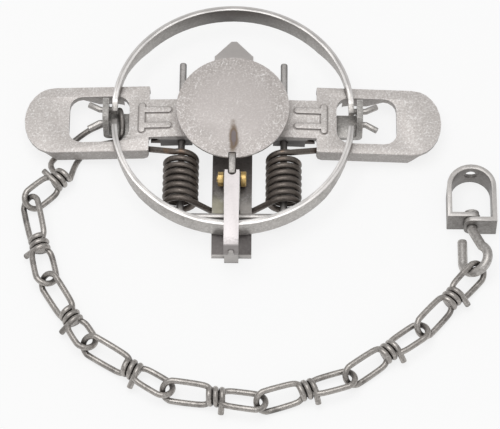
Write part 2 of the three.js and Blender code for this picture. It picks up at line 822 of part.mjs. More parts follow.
// Turns of the knot round the middle of a link, with the wire's end standing out
function knotRoute() {
  const steps = Math.round(knot_turns * curl_steps);
  const points = Array.from({ length: steps + 1 }, (_, i) => {
    const angle = (2 * Math.PI * i) / curl_steps;
    const along = (i / steps - 0.5) * knot_turns * knot_pitch;
    return new THREE.Vector3(along, knot_radius * Math.cos(angle), knot_radius * Math.sin(angle));
  });
  const last = (2 * Math.PI * steps) / curl_steps;
  const tail = new THREE.Vector3(0, -Math.sin(last), Math.cos(last)).multiplyScalar(knot_tail);
  return [...points, points[steps].clone().add(tail)];
}

function knotSolid(lead) {
  const core_half = (knot_turns * knot_pitch) / 2;
  const core = barAlongX(leg_spread + chain_radius, -core_half, core_half, 0, 0, 8);
  const turns = solidOf(wire(knotRoute(), chain_radius, loop_sides).rotateX(lead));
  return core.add(turns);
}

// Link along its own X axis with the knot at the origin
function knottedLink(back_length, back_roll, front_length, front_roll) {
  const front = wireSolid(loopRoute(front_length, front_roll), chain_radius, loop_sides);
  const back_points = loopRoute(back_length, back_roll).map((p) => new THREE.Vector3(-p.x, p.y, p.z));
  const back = wireSolid(back_points, chain_radius, loop_sides);
  return geometryOf(knotSolid(back_roll).add(front).add(back));
}

// Chain layout: places on the ground of each knot and of each meeting of two links
const knots = knot_places_shares.map(([x, y]) => new THREE.Vector2(x * chain_span, y * chain_span));
const joints = joint_places_shares.map(([x, y]) => new THREE.Vector2(x * chain_span, y * chain_span));
const end_reach = chain_radius + chain_play / 2;
const hook_bottom = new THREE.Vector2(
  hook_across + hook_bow_shift * Math.cos(hook_roll), -hook_bow_centre - hook_bow);

// Links two to eight run straight from one meeting, through their knot, to the next
function chainLink(number) {
  const from = joints[number - 2];
  const last = number === knots.length;
  const to = last ? hook_bottom : joints[number - 1];
  const along = to.clone().sub(from);
  const knot_share = knots[number - 1].clone().sub(from).dot(along) / along.lengthSq();
  const back = along.length() * knot_share + end_reach;
  const grip = last ? hook_radius + chain_radius + hook_play : end_reach;
  const front = along.length() * (1 - knot_share) + grip;
  const geometry = knottedLink(back, upright_roll, front, last ? upright_roll : flat_roll);
  const centre = from.clone().lerp(to, knot_share);
  return { geometry, centre, angle: Math.atan2(along.y, along.x) };
}

// First link: its long loop goes under the base bar and back over it, inboard of the left post
function firstLink() {
  const knot = knots[0];
  const out = joints[0].clone().sub(knot);
  const side = bar_width / 2 + chain_radius + clearance;
  const over = bar_top + chain_radius + 2 * clearance;
  const start = knot.clone().addScaledVector(knot.clone().normalize(), -2 * leg_spread);
  const rest = chain_height - chain_radius;
  const route = [
    [start.x - leg_spread, start.y - leg_spread, rest],
    ...first_loop_shares.map(([out_share, back_share, up_share]) => [
      -post_inner - out_share * loop_half_width, back_share * side, up_share * over]),
    [start.x + 2 * leg_spread, start.y, rest],
  ].map(([x, y, z]) => new THREE.Vector3(x, y, z));
  const loop = wireSolid(route, chain_radius, loop_sides);
  const angle = Math.atan2(out.y, out.x);
  const place = (geometry) => geometry.rotateZ(angle).translate(knot.x, knot.y, chain_height);
  const end = wire(loopRoute(out.length() + end_reach, first_roll), chain_radius, loop_sides);
  const turns = geometryOf(knotSolid(0));
  return geometryOf(loop.add(solidOf(place(end))).add(solidOf(place(turns))));
}

// Hook: a round shank with a peened head inside the clevis, bent into an open bow
function hook() {
  const bow = arcPoints(
    hook_bow_shift, -hook_bow_centre, hook_bow, hook_start_angle, hook_end_angle, 18);
  const route = [
    [0, -hook_head], [0, -hook_shank_end + hook_radius], [hook_radius / 4, -hook_shank_end], ...bow,
    [hook_bow_shift - hook_bow, hook_tail - hook_bow_centre],
  ].map(([x, y]) => new THREE.Vector3(x, y, 0));
  const head = barAlongY(hook_head_radius, -hook_head, hook_head_length - hook_head, 0, 0, 12);
  return geometryOf(wireSolid(route, hook_radius, 10).add(head));
}

// Swivel clevis: a strip bent to a D whose two tabs overlap round the hook's shank
function swivelClevis() {
  const half = clevis_width / 2;
  const left = hook_across - half;
  const right = hook_across + half;
  const arch = -clevis_rear - half;
  const inner_tab = -clevis_front + clevis_strip + clearance;
  const ring = outline([
    ...arcPoints(hook_across, arch, half, 0, Math.PI, 16),
    ...arcPoints(hook_across, arch, half - clevis_strip, Math.PI, 0, 16),
  ]);
  let body = plateUp(ring, 0, clevis_height);
  body = body.add(block(left, left + clevis_strip, inner_tab, arch, 0, clevis_height));
  body = body.add(block(right - clevis_strip, right, -clevis_front, arch, 0, clevis_height));
  const reach = clevis_tab_overlap + clevis_strip;
  const corner = clevis_tab_corner;
  const tab = [
    [0, 0], [reach - corner, 0],
    ...arcPoints(reach - corner, corner, corner, -Math.PI / 2, 0, 5),
    ...arcPoints(reach - corner, clevis_height - corner, corner, 0, Math.PI / 2, 5),
    [0, clevis_height],
  ];
  body = body.add(plateAlong(
    tab.map(([x, z]) => [left + x, z]), inner_tab, inner_tab + clevis_strip));
  body = body.add(plateAlong(
    tab.map(([x, z]) => [right - x, z]).reverse(), -clevis_front, clevis_strip - clevis_front));
  body = body.subtract(barAlongY(
    hook_radius + clearance, -clevis_front - overrun, arch, hook_across, hook_height));
  body = body.subtract(barAlongY(clevis_hole, arch, overrun - clevis_rear, hook_across, hook_height));
  return geometryOf(body);
}

const trap = new THREE.Group();

function add(name, geometry, colour, roughness, metalness, parent = trap) {
  const material = new THREE.MeshStandardMaterial({ color: colour, roughness, metalness });
  const mesh = new THREE.Mesh(geometry, material);
  mesh.name = name;
  parent.add(mesh);
  return mesh;
}

add('base_bar', baseBar(), 0xaaa6a0, 0.45, 0.9);
add('cross_frame', crossFrame(), 0x6e6b66, 0.6, 0.8);
for (const [name, x] of [['rivet_left', -rivet_offset], ['rivet_right', rivet_offset]]) {
  add(name, rivet(), 0x8a8680, 0.5, 0.9).position.set(x, 0, 0);
}

const bracket = hingeBracket();
add('right_bracket', bracket, 0x76726c, 0.6, 0.8);
add('left_bracket', mirrored(bracket), 0x76726c, 0.6, 0.8);
add('spring_rod', springRod(), 0x5e5852, 0.5, 0.9);
const spring = coilSpring();
add('right_spring', spring, 0x463e3a, 0.5, 0.9);
add('left_spring', mirrored(spring), 0x463e3a, 0.5, 0.9);

const lever_shape = lever();
const right_lever = add('right_lever', lever_shape, 0xc8c1bc, 0.45, 0.85);
right_lever.position.set(rod_offset, 0, rod_height);
right_lever.rotation.y = lever_slope;
const left_lever = add('left_lever', mirrored(lever_shape), 0xc8c1bc, 0.45, 0.85);
left_lever.position.set(-rod_offset, 0, rod_height);
left_lever.rotation.y = -lever_slope;

const jaw_shape = jaw();
add('front_jaw', jaw_shape, 0xb9b6b2, 0.3, 1);
add('rear_jaw', jaw_shape.clone(), 0xb9b6b2, 0.3, 1).rotation.z = Math.PI;
add('dog', dog(), 0xe4e0dd, 0.25, 1);

const pan_group = new THREE.Group();
pan_group.position.set(0, 0, pan_height);
pan_group.rotation.x = pan_tilt;
trap.add(pan_group);
add('pan', pan(), 0xbeb6b2, 0.4, 0.9, pan_group);
add('pan_shank', panShank(), 0x9c9791, 0.4, 0.9, pan_group);
add('pan_bracket', panBracket(), 0x86827c, 0.5, 0.85);
add('pan_bolt', panBolt(), 0xc9a84e, 0.35, 1);
add('pan_nut', panNut(), 0xc9a84e, 0.35, 1);

add('chain_link_1', firstLink(), 0x78746f, 0.45, 0.9);
for (let number = 2; number <= knots.length; number++) {
  const { geometry, centre, angle } = chainLink(number);
  const link = add(`chain_link_${number}`, geometry, 0x78746f, 0.45, 0.9);
  link.position.set(centre.x, centre.y, chain_height);
  link.rotation.z = angle;
}
const hook_mesh = add('swivel_hook', hook(), 0x96918c, 0.45, 0.9);
hook_mesh.position.set(hook_across, 0, hook_height);
hook_mesh.rotation.y = hook_roll;
add('swivel_clevis', swivelClevis(), 0x96918c, 0.45, 0.9);

trap.position.y = frame_front - foot_length / 2;

export default trap;
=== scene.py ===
import math

import bmesh
import bpy
from mathutils import Matrix, Vector


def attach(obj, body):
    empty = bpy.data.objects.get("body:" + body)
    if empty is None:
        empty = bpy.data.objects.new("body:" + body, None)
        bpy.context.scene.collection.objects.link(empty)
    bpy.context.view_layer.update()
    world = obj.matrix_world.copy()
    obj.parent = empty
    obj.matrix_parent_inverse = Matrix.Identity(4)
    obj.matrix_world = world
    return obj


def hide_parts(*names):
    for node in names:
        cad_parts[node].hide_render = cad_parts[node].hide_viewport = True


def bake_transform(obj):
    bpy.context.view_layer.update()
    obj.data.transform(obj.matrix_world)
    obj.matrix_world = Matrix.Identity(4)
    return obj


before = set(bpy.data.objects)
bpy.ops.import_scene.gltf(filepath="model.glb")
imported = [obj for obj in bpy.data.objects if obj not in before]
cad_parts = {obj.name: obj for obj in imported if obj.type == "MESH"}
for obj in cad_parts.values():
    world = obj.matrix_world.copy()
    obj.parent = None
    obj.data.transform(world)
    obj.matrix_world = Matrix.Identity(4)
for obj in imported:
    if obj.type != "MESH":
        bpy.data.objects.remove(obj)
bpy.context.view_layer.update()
mm = 0.001

# Camera
# The photograph was taken from in front and above, about 60 degrees up, with a long lens.
# Its angle, distance and lens come from a fit to the posts, jaws, pan and swivel.
camera_target = Vector((9.75, 25.08, 0)) * mm
camera_turn = math.radians(0.535)
camera_rise = math.radians(59.695)
camera_distance = 1781.9 * mm
camera_data = bpy.data.cameras.new("camera")
camera_data.sensor_width = 36
camera_data.lens = 238.14
camera_data.clip_end = 20
camera = bpy.data.objects.new("camera", camera_data)
camera_away = Vector((
    math.cos(camera_rise) * math.sin(camera_turn),
    -math.cos(camera_rise) * math.cos(camera_turn),
    math.sin(camera_rise),
))
camera.location = camera_target + camera_away * camera_distance
camera.rotation_euler = (-camera_away).to_track_quat("-Z", "Y").to_euler()
bpy.context.scene.collection.objects.link(camera)
bpy.context.scene.camera = camera
bpy.context.scene.view_settings.view_transform = "Standard"

# Floor, light and background
# A plain pale floor under soft studio light. Seen by the camera or in a reflection, the floor is
# nearly white and keeps the trap's soft shadow.
floor_radius = 3.0
floor_sides = 64
floor_drop = 0.2 * mm
floor_white = (0.86, 0.86, 0.86, 1)
floor_glow_share = 0.8
room_strength = 0.6
floor_mesh = bpy.data.meshes.new("floor")
floor_form = bmesh.new()
bmesh.ops.create_circle(floor_form, cap_ends=True, segments=floor_sides, radius=floor_radius)
floor_form.to_mesh(floor_mesh)
floor_form.free()
floor = bpy.data.objects.new("floor", floor_mesh)
floor.location.z = -floor_drop
bpy.context.scene.collection.objects.link(floor)
floor_material = bpy.data.materials.new("floor")
floor_material.use_nodes = True
floor_nodes = floor_material.node_tree.nodes
floor_links = floor_material.node_tree.links
floor_nodes.clear()
floor_output = floor_nodes.new("ShaderNodeOutputMaterial")
floor_mix = floor_nodes.new("ShaderNodeMixShader")
floor_paint = floor_nodes.new("ShaderNodeBsdfDiffuse")
floor_paint.inputs["Color"].default_value = floor_white
floor_glow = floor_nodes.new("ShaderNodeEmission")
floor_path = floor_nodes.new("ShaderNodeLightPath")
floor_seen = floor_path.outputs["Is Camera Ray"]
for other_ray in ("Is Glossy Ray", "Is Transmission Ray"):
    seen_either = floor_nodes.new("ShaderNodeMath")
    seen_either.operation = "ADD"
    seen_either.use_clamp = True
    floor_links.new(floor_seen, seen_either.inputs[0])
    floor_links.new(floor_path.outputs[other_ray], seen_either.inputs[1])
    floor_seen = seen_either.outputs[0]
floor_share = floor_nodes.new("ShaderNodeMath")
floor_share.operation = "MULTIPLY"
floor_share.inputs[1].default_value = floor_glow_share
floor_links.new(floor_seen, floor_share.inputs[0])
floor_links.new(floor_share.outputs[0], floor_mix.inputs["Fac"])
floor_links.new(floor_paint.outputs[0], floor_mix.inputs[1])
floor_links.new(floor_glow.outputs[0], floor_mix.inputs[2])
floor_links.new(floor_mix.outputs[0], floor_output.inputs["Surface"])
floor.data.materials.append(floor_material)

for lamp_name, lamp_place, lamp_size, lamp_power in [
    ("key_lamp", (-0.25, 0.0, 1.9), 1.8, 20.0),
    ("front_lamp", (0.4, -1.1, 0.8), 0.8, 0.8),
]:
    lamp_data = bpy.data.lights.new(lamp_name, "AREA")
    lamp_data.shape = "DISK"
    lamp_data.size = lamp_size
    lamp_data.energy = lamp_power
    lamp = bpy.data.objects.new(lamp_name, lamp_data)
    lamp.location = lamp_place
    lamp.rotation_euler = (camera_target - lamp.location).to_track_quat("-Z", "Y").to_euler()
    bpy.context.scene.collection.objects.link(lamp)

world = bpy.data.worlds.new("studio")
bpy.context.scene.world = world
world.use_nodes = True
world_nodes = world.node_tree.nodes
world_links = world.node_tree.links
world_nodes.clear()
world_output = world_nodes.new("ShaderNodeOutputWorld")
world_mix = world_nodes.new("ShaderNodeMixShader")
world_room = world_nodes.new("ShaderNodeBackground")
world_room.inputs["Strength"].default_value = room_strength
world_sky = world_nodes.new("ShaderNodeBackground")
world_path = world_nodes.new("ShaderNodeLightPath")
world_links.new(world_path.outputs["Is Camera Ray"], world_mix.inputs["Fac"])
world_links.new(world_room.outputs[0], world_mix.inputs[1])
world_links.new(world_sky.outputs[0], world_mix.inputs[2])
world_links.new(world_mix.outputs[0], world_output.inputs["Surface"])

# Base bar
# A flat zinc plated bar whose ends are turned up into posts, pierced for the jaws' tangs. Its
# edges are rounded by tumbling, so the piece is the CAD bar with its corners eased.
bar_edge = 0.45 * mm
same_point = 0.002 * mm
flat_angle = math.radians(0.5)
shading_angle = math.radians(32)
sharp_angle = math.radians(38)
bend_angle = math.radians(50)
edge_steps = 2
bend_steps = 4


def eased(node, body, edge, bend=0, bend_place=None):
    """The node's solid as a new piece: bends rounded first, then every sharp edge eased."""
    form = bmesh.new()
    form.from_mesh(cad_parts[node].data)
    bmesh.ops.remove_doubles(form, verts=form.verts, dist=same_point)
    bmesh.ops.dissolve_limit(
        form, angle_limit=flat_angle, verts=form.verts, edges=form.edges)
    if bend:
        bends = [
            e for e in form.edges
            if e.calc_face_angle(0) > bend_angle
            and bend_place((e.verts[0].co + e.verts[1].co) / 2)
        ]
        bmesh.ops.bevel(
            form, geom=bends, offset=bend, offset_type="OFFSET", segments=bend_steps, profile=0.5,
            affect="EDGES", clamp_overlap=True)
    sharp = [e for e in form.edges if e.calc_face_angle(0) > sharp_angle]
    bmesh.ops.bevel(
        form, geom=sharp, offset=edge, offset_type="OFFSET", segments=edge_steps, profile=0.5,
        affect="EDGES", clamp_overlap=True)
    return finished(node, form, body)


def finished(node, form, body):
    """Makes the object, smooth but for its sharp edges, ties it to its body, names it after its
    node and hides the node's own part.
    """
    for face in form.faces:
        face.smooth = True
    for e in form.edges:
        e.smooth = e.calc_face_angle(0) < shading_angle
    mesh = bpy.data.meshes.new(node + "_form")
    form.to_mesh(mesh)
    form.free()
    piece = bpy.data.objects.new(node + "_piece", mesh)
    bpy.context.scene.collection.objects.link(piece)
    if body:
        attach(piece, body)
    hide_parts(node)
    return piece


def group_of(name, inputs, outputs):
    """An empty shader node group with its named sockets, and its input and output nodes."""
    tree = bpy.data.node_groups.new(name, "ShaderNodeTree")
    for socket, kind, value in inputs:
        made = tree.interface.new_socket(socket, in_out="INPUT", socket_type=kind)
        made.default_value = value
    for socket, kind in outputs:
        tree.interface.new_socket(socket, in_out="OUTPUT", socket_type=kind)
    return tree, tree.nodes.new("NodeGroupInput"), tree.nodes.new("NodeGroupOutput")


def math_node(tree, kind, a, b=0):
    """One step of arithmetic on two values, each a number or a socket."""
    node = tree.nodes.new("ShaderNodeMath")
    node.operation = kind
    for socket, value in zip(node.inputs, (a, b)):
        if isinstance(value, (int, float)):
            socket.default_value = value
        else:
            tree.links.new(value, socket)
    return node.outputs[0]


def product(tree, first, *others):
    """All the values multiplied with each other."""
    for other in others:
        first = math_node(tree, "MULTIPLY", first, other)
    return first


def noise_node(tree, place, scale, detail, roughness=0.55):
    """Noise between 0 and 1. The scale is a number or a socket."""
    node = tree.nodes.new("ShaderNodeTexNoise")
    node.inputs["Detail"].default_value = detail
    node.inputs["Roughness"].default_value = roughness
    tree.links.new(place, node.inputs["Vector"])
    if isinstance(scale, (int, float)):
        node.inputs["Scale"].default_value = scale
    else:
        tree.links.new(scale, node.inputs["Scale"])
    return node.outputs["Fac"]


def step_node(tree, value, start, end):
    """Rises smoothly from 0 at start to 1 at end, which may also lie below start."""
    node = tree.nodes.new("ShaderNodeMapRange")
    node.interpolation_type = "SMOOTHSTEP"
    tree.links.new(value, node.inputs["Value"])
    node.inputs["From Min"].default_value = start
    node.inputs["From Max"].default_value = end
    return node.outputs["Result"]


def colour_mix(tree, share, a, b):
    """Colour b laid over colour a by the share."""
    node = tree.nodes.new("ShaderNodeMix")
    node.data_type = "RGBA"
    sockets = [s for s in node.inputs if s.enabled]
    for socket, value in zip(sockets, (share, a, b)):
        if isinstance(value, (int, float)):
            socket.default_value = value
        elif isinstance(value, tuple):
            socket.default_value = (*value, 1)
        else:
            tree.links.new(value, socket)
    return [s for s in node.outputs if s.enabled][0]


# Plating: fine bright and dark grains, cloudy handling marks and darker dirt, as on zinc plate
grain_bright = (0.5, 0.68)
grain_dark = (0.47, 0.3)
cloud_dark = (0.48, 0.72)
plating, plating_in, plating_out = group_of("plating", [
    ("Base", "NodeSocketColor", (0.5, 0.5, 0.5, 1)),
    ("Dark", "NodeSocketColor", (0.2, 0.2, 0.2, 1)),
    ("Bright", "NodeSocketColor", (0.8, 0.8, 0.8, 1)),
    ("Grain Scale", "NodeSocketFloat", 900.0),
    ("Grain", "NodeSocketFloat", 0.4),
    ("Cloud Scale", "NodeSocketFloat", 60.0),
    ("Cloud", "NodeSocketFloat", 0.4),
], [("Color", "NodeSocketColor"), ("Height", "NodeSocketFloat"), ("Cloud", "NodeSocketFloat")])
plating_place = plating.nodes.new("ShaderNodeTexCoord").outputs["Object"]
plating_grain = noise_node(
    plating, plating_place, plating_in.outputs["Grain Scale"], detail=3, roughness=0.7)
plating_cloud = noise_node(
    plating, plating_place, plating_in.outputs["Cloud Scale"], detail=5, roughness=0.62)
plating_bright = product(
    plating, step_node(plating, plating_grain, *grain_bright), plating_in.outputs["Grain"])
plating_pits = product(
    plating, step_node(plating, plating_grain, *grain_dark), plating_in.outputs["Grain"])
plating_dirt = product(
    plating, step_node(plating, plating_cloud, *cloud_dark), plating_in.outputs["Cloud"])
plating_first = colour_mix(
    plating, plating_bright, plating_in.outputs["Base"], plating_in.outputs["Bright"])
plating_second = colour_mix(plating, plating_pits, plating_first, plating_in.outputs["Dark"])
plating_third = colour_mix(plating, plating_dirt, plating_second, plating_in.outputs["Dark"])
plating.links.new(plating_third, plating_out.inputs["Color"])
plating.links.new(plating_grain, plating_out.inputs["Height"])
plating.links.new(plating_cloud, plating_out.inputs["Cloud"])

# Scratches: thin bright lines in three directions, broken up by a coarser noise
scratch_scale = 60.0
scratch_ways = ((0.3, 22), (1.25, 16), (2.2, 28))
scratch_tilt = (0.2, 0.1)
scratch_width = (0.64, 0.7)
scratch_break = (0.46, 0.62)
scratch_break_scale = 140.0
scratches, scratches_in, scratches_out = group_of("scratches", [
    ("Scale", "NodeSocketFloat", scratch_scale),
    ("Amount", "NodeSocketFloat", 0.5),
], [("Mask", "NodeSocketFloat")])
scratches_place = scratches.nodes.new("ShaderNodeTexCoord").outputs["Object"]
scratches_sum = None
for scratch_turn, scratch_stretch in scratch_ways:
    scratch_map = scratches.nodes.new("ShaderNodeMapping")
    scratch_map.vector_type = "TEXTURE"
    scratch_map.inputs["Rotation"].default_value = (*scratch_tilt, scratch_turn)
    scratch_map.inputs["Scale"].default_value = (1, 1 / scratch_stretch, 1 / scratch_stretch)
    scratches.links.new(scratches_place, scratch_map.inputs["Vector"])
    scratch_lines = noise_node(
        scratches, scratch_map.outputs["Vector"], scratches_in.outputs["Scale"], detail=2,
        roughness=0.5)
    scratch_mask = step_node(scratches, scratch_lines, *scratch_width)
    scratches_sum = scratch_mask if scratches_sum is None else math_node(
        scratches, "MAXIMUM", scratches_sum, scratch_mask)
scratches_noise = noise_node(scratches, scratches_place, scratch_break_scale, detail=2)
scratches_break = step_node(scratches, scratches_noise, *scratch_break)
scratches.links.new(
    product(scratches, scratches_sum, scratches_break, scratches_in.outputs["Amount"]),
    scratches_out.inputs["Mask"])

# Rubbed edges: where the rounded normal leaves the face's own, broken up by noise
rub_turn = (0.985, 0.9)
rub_break = (0.3, 0.6)
rub_break_scale = 220.0
rubbed, rubbed_in, rubbed_out = group_of("rubbed_edges", [
    ("Radius", "NodeSocketFloat", 0.0005),
    ("Amount", "NodeSocketFloat", 0.6),
], [("Mask", "NodeSocketFloat")])
rubbed_bevel = rubbed.nodes.new("ShaderNodeBevel")
rubbed_bevel.samples = 6
rubbed.links.new(rubbed_in.outputs["Radius"], rubbed_bevel.inputs["Radius"])
rubbed_dot = rubbed.nodes.new("ShaderNodeVectorMath")
rubbed_dot.operation = "DOT_PRODUCT"
rubbed.links.new(rubbed_bevel.outputs["Normal"], rubbed_dot.inputs[0])
rubbed.links.new(
    rubbed.nodes.new("ShaderNodeNewGeometry").outputs["Normal"], rubbed_dot.inputs[1])
rubbed_edge = step_node(rubbed, rubbed_dot.outputs["Value"], *rub_turn)
rubbed_place = rubbed.nodes.new("ShaderNodeTexCoord").outputs["Object"]
rubbed_noise = noise_node(rubbed, rubbed_place, rub_break_scale, detail=4, roughness=0.6)
rubbed_break = step_node(rubbed, rubbed_noise, *rub_break)
rubbed.links.new(
    product(rubbed, rubbed_edge, rubbed_break, rubbed_in.outputs["Amount"]),
    rubbed_out.inputs["Mask"])

# Hollows: dirt and shade where two surfaces meet or lie close together
hollow_openness = (0.85, 0.35)
hollows, hollows_in, hollows_out = group_of("hollows", [
    ("Reach", "NodeSocketFloat", 0.003),
    ("Amount", "NodeSocketFloat", 0.5),
], [("Mask", "NodeSocketFloat")])
hollows_near = hollows.nodes.new("ShaderNodeAmbientOcclusion")
hollows_near.samples = 8
hollows.links.new(hollows_in.outputs["Reach"], hollows_near.inputs["Distance"])
hollows_mask = step_node(hollows, hollows_near.outputs["AO"], *hollow_openness)
hollows.links.new(
    product(hollows, hollows_mask, hollows_in.outputs["Amount"]), hollows_out.inputs["Mask"])


def use_group(tree, group, values):
    """The group placed in a material, with its values set."""
    node = tree.nodes.new("ShaderNodeGroup")
    node.node_tree = group
    for socket, value in values.items():
        node.inputs[socket].default_value = (*value, 1) if isinstance(value, tuple) else value
    return node


def tone(red, green, blue):
    """A colour read from the photograph, 0 to 255, as the shader needs it."""
    return tuple(
        c / 12.92 if c <= 0.04045 else ((c + 0.055) / 1.055) ** 2.4
        for c in (red / 255, green / 255, blue / 255))


cloud_range = (0.3, 0.7)
rough_spread = (-0.07, 0.1)
grain_bump = 0.12
grain_depth = 0.15 * mm


def metal(name, base, dark, bright, metallic, rough, grain=0.4, grain_scale=900.0, cloud=0.4,
          cloud_scale=60.0, scratch=0.5, rub=0.6, rub_radius=0.5, hollow=0.5, reach=3.0,
          dirt_and_shade_colour=None, tint=None):
    """A worn metal finish. rub_radius and reach are in millimetres. dirt_and_shade_colour is the
    colour of the dirt and painted shade in the hollows, and tint is a function that puts last
    marks, painted shade and painted highlights over the colour."""
    material = bpy.data.materials.new(name)
    material.use_nodes = True
    tree = material.node_tree
    shader = tree.nodes["Principled BSDF"]
    shader.inputs["Metallic"].default_value = metallic
    plate = use_group(tree, plating, {
        "Base": base, "Dark": dark, "Bright": bright, "Grain Scale": grain_scale, "Grain": grain,
        "Cloud Scale": cloud_scale, "Cloud": cloud})
    lines = use_group(tree, scratches, {"Scale": scratch_scale, "Amount": scratch})
    edges = use_group(tree, rubbed, {"Radius": rub_radius * mm, "Amount": rub})
    colour = colour_mix(tree, lines.outputs["Mask"], plate.outputs["Color"], bright)
    colour = colour_mix(tree, edges.outputs["Mask"], colour, bright)
    if tint:
        colour = tint(tree, colour)
    # Dirt and painted shade in the hollows and where parts lie close together.
    dirt_and_shade = use_group(tree, hollows, {"Reach": reach * mm, "Amount": hollow})
    colour = colour_mix(tree, dirt_and_shade.outputs["Mask"], colour, dirt_and_shade_colour or dark)
    tree.links.new(colour, shader.inputs["Base Color"])
    rough_map = tree.nodes.new("ShaderNodeMapRange")
    rough_map.inputs["From Min"].default_value = cloud_range[0]
    rough_map.inputs["From Max"].default_value = cloud_range[1]
    rough_map.inputs["To Min"].default_value = rough + rough_spread[0]
    rough_map.inputs["To Max"].default_value = rough + rough_spread[1]
    tree.links.new(plate.outputs["Cloud"], rough_map.inputs["Value"])
    tree.links.new(rough_map.outputs["Result"], shader.inputs["Roughness"])
    bump_node = tree.nodes.new("ShaderNodeBump")
    bump_node.inputs["Strength"].default_value = grain_bump
    bump_node.inputs["Distance"].default_value = grain_depth
    tree.links.new(plate.outputs["Height"], bump_node.inputs["Height"])
    tree.links.new(bump_node.outputs["Normal"], shader.inputs["Normal"])
    return material


def dress(piece, material):
    """Gives the piece its finish."""
    piece.data.materials.clear()
    piece.data.materials.append(material)


zinc_bar = metal(
    "zinc_bar", tone(176, 173, 169), tone(92, 90, 88), tone(228, 226, 223),
    metallic=0.55, rough=0.42, grain=0.5, cloud=0.5, scratch=0.5, rub=0.9, rub_radius=0.8)
base_bar = eased("base_bar", "trap_frame", bar_edge)
dress(base_bar, zinc_bar)

# Cross frame with the dog's post
# A dark strip of mill steel with a turned-down foot and a pointed tail, riveted under the bar.
# Its scale is mottled, olive where oil has dried on it, and rubbed bright at the edges.
frame_edge = 0.4 * mm
bar_y = 76.3 * mm
tail_fade = (bar_y, 92 * mm)
pan_shadow_rear_fade = (66 * mm, 58 * mm)
pan_shadow_front_fade = (24 * mm, 40 * mm)
pale_rear_fade = (32 * mm, 24 * mm)
pale_front_fade = (10 * mm, 17 * mm)
jaw_shadow_fade = (15 * mm, 10 * mm)
post_fade = (-1.2 * mm, -2.4 * mm)
olive_place = (-7 * mm, 22 * mm, 8.2 * mm)
olive_fade = (13 * mm, 4 * mm)
olive_scale = 95.0
olive_break = (0.35, 0.6)
pale_tail = ((208, 203, 200), 0.9)
painted_pan_shadow = ((84, 77, 74), 0.75)
pale_arm = ((182, 176, 171), 0.7)
painted_jaw_shadow = ((92, 86, 85), 0.8)
olive_film = ((150, 146, 112), 0.5)
pale_post = ((206, 202, 199), 0.8)


def object_place(tree):
    """The shaded point in the piece's own space: the place, then its X, Y and Z."""
    place = tree.nodes.new("ShaderNodeTexCoord").outputs["Object"]
    split = tree.nodes.new("ShaderNodeSeparateXYZ")
    tree.links.new(place, split.inputs[0])
    return place, split.outputs["X"], split.outputs["Y"], split.outputs["Z"]


def stain_and_shading(tree, colour, kind, *shares):
    """Tone laid over the colour where the shares are high, for marks and for painted shade and
    highlights alike. Its kind is a tone and a strength.
    """
    paint, strength = kind
    return colour_mix(tree, product(tree, *shares, strength), colour, tone(*paint))


def frame_stain_and_shade(tree, colour):
    """The arm carries a painted shadow of the pan and is paler in front of it, with an olive patch.
    The foot carries a painted shadow of the front jaw, and the tail and the post are pale."""
    place, _, along, _ = object_place(tree)
    colour = stain_and_shading(tree, colour, pale_tail, step_node(tree, along, *tail_fade))
    # Painted shadow of the pan on the arm under its front edge.
    pan_shadow_rear = step_node(tree, along, *pan_shadow_rear_fade)
    pan_shadow_front = step_node(tree, along, *pan_shadow_front_fade)
    colour = stain_and_shading(tree, colour, painted_pan_shadow, pan_shadow_rear, pan_shadow_front)
    # Paler between the pan and the front jaw.
    pale_rear = step_node(tree, along, *pale_rear_fade)
    pale_front = step_node(tree, along, *pale_front_fade)
    colour = stain_and_shading(tree, colour, pale_arm, pale_rear, pale_front)
    # Painted shadow of the front jaw on the foot.
    colour = stain_and_shading(tree, colour, painted_jaw_shadow, step_node(tree, along, *jaw_shadow_fade))
    near = tree.nodes.new("ShaderNodeVectorMath")
    near.operation = "DISTANCE"
    near.inputs[1].default_value = olive_place
    tree.links.new(place, near.inputs[0])
    patch = step_node(tree, near.outputs["Value"], *olive_fade)
    spread = step_node(tree, noise_node(tree, place, olive_scale, detail=3), *olive_break)
    colour = stain_and_shading(tree, colour, olive_film, patch, spread)
    return stain_and_shading(tree, colour, pale_post, step_node(tree, along, *post_fade))


mill_steel = metal(
    "dark_steel", tone(146, 143, 140), tone(66, 64, 63), tone(200, 198, 195),
    metallic=0.35, rough=0.48, grain=0.5, grain_scale=700.0, cloud=0.8, cloud_scale=75.0,
    scratch=0.5, rub=0.75, rub_radius=0.6, tint=frame_stain_and_shade)
cross_frame = eased("cross_frame", "trap_frame", frame_edge)
dress(cross_frame, mill_steel)

# Rivets
# Two short steel rivets hold the base bar and the cross frame together. They are driven cold,
# which leaves a low head on both sides.
rivet_edge = 0.3 * mm
rivet_steel = metal(
    "rivet_steel", tone(140, 136, 132), tone(70, 68, 66), tone(200, 198, 194),
    metallic=0.75, rough=0.42)
for rivet_name in ("rivet_left", "rivet_right"):
    dress(eased(rivet_name, "trap_frame", rivet_edge), rivet_steel)

# Hinge brackets
# Small steel stirrups under the base bar. Their ears hold the legs of the spring rod. They are
# painted dark as shade, for the shadow under the levers' necks.
stirrup_edge = 0.25 * mm
shaded_bracket_steel = metal(
    "shaded_bracket_steel", tone(92, 83, 79), tone(52, 46, 44), tone(150, 142, 136),
    metallic=0.5, rough=0.5, grain=0.4, grain_scale=700.0, cloud=0.6, cloud_scale=75.0,
    scratch=0.3, rub=0.4)
for bracket_name in ("right_bracket", "left_bracket"):
    dress(eased(bracket_name, "trap_frame", stirrup_edge), shaded_bracket_steel)

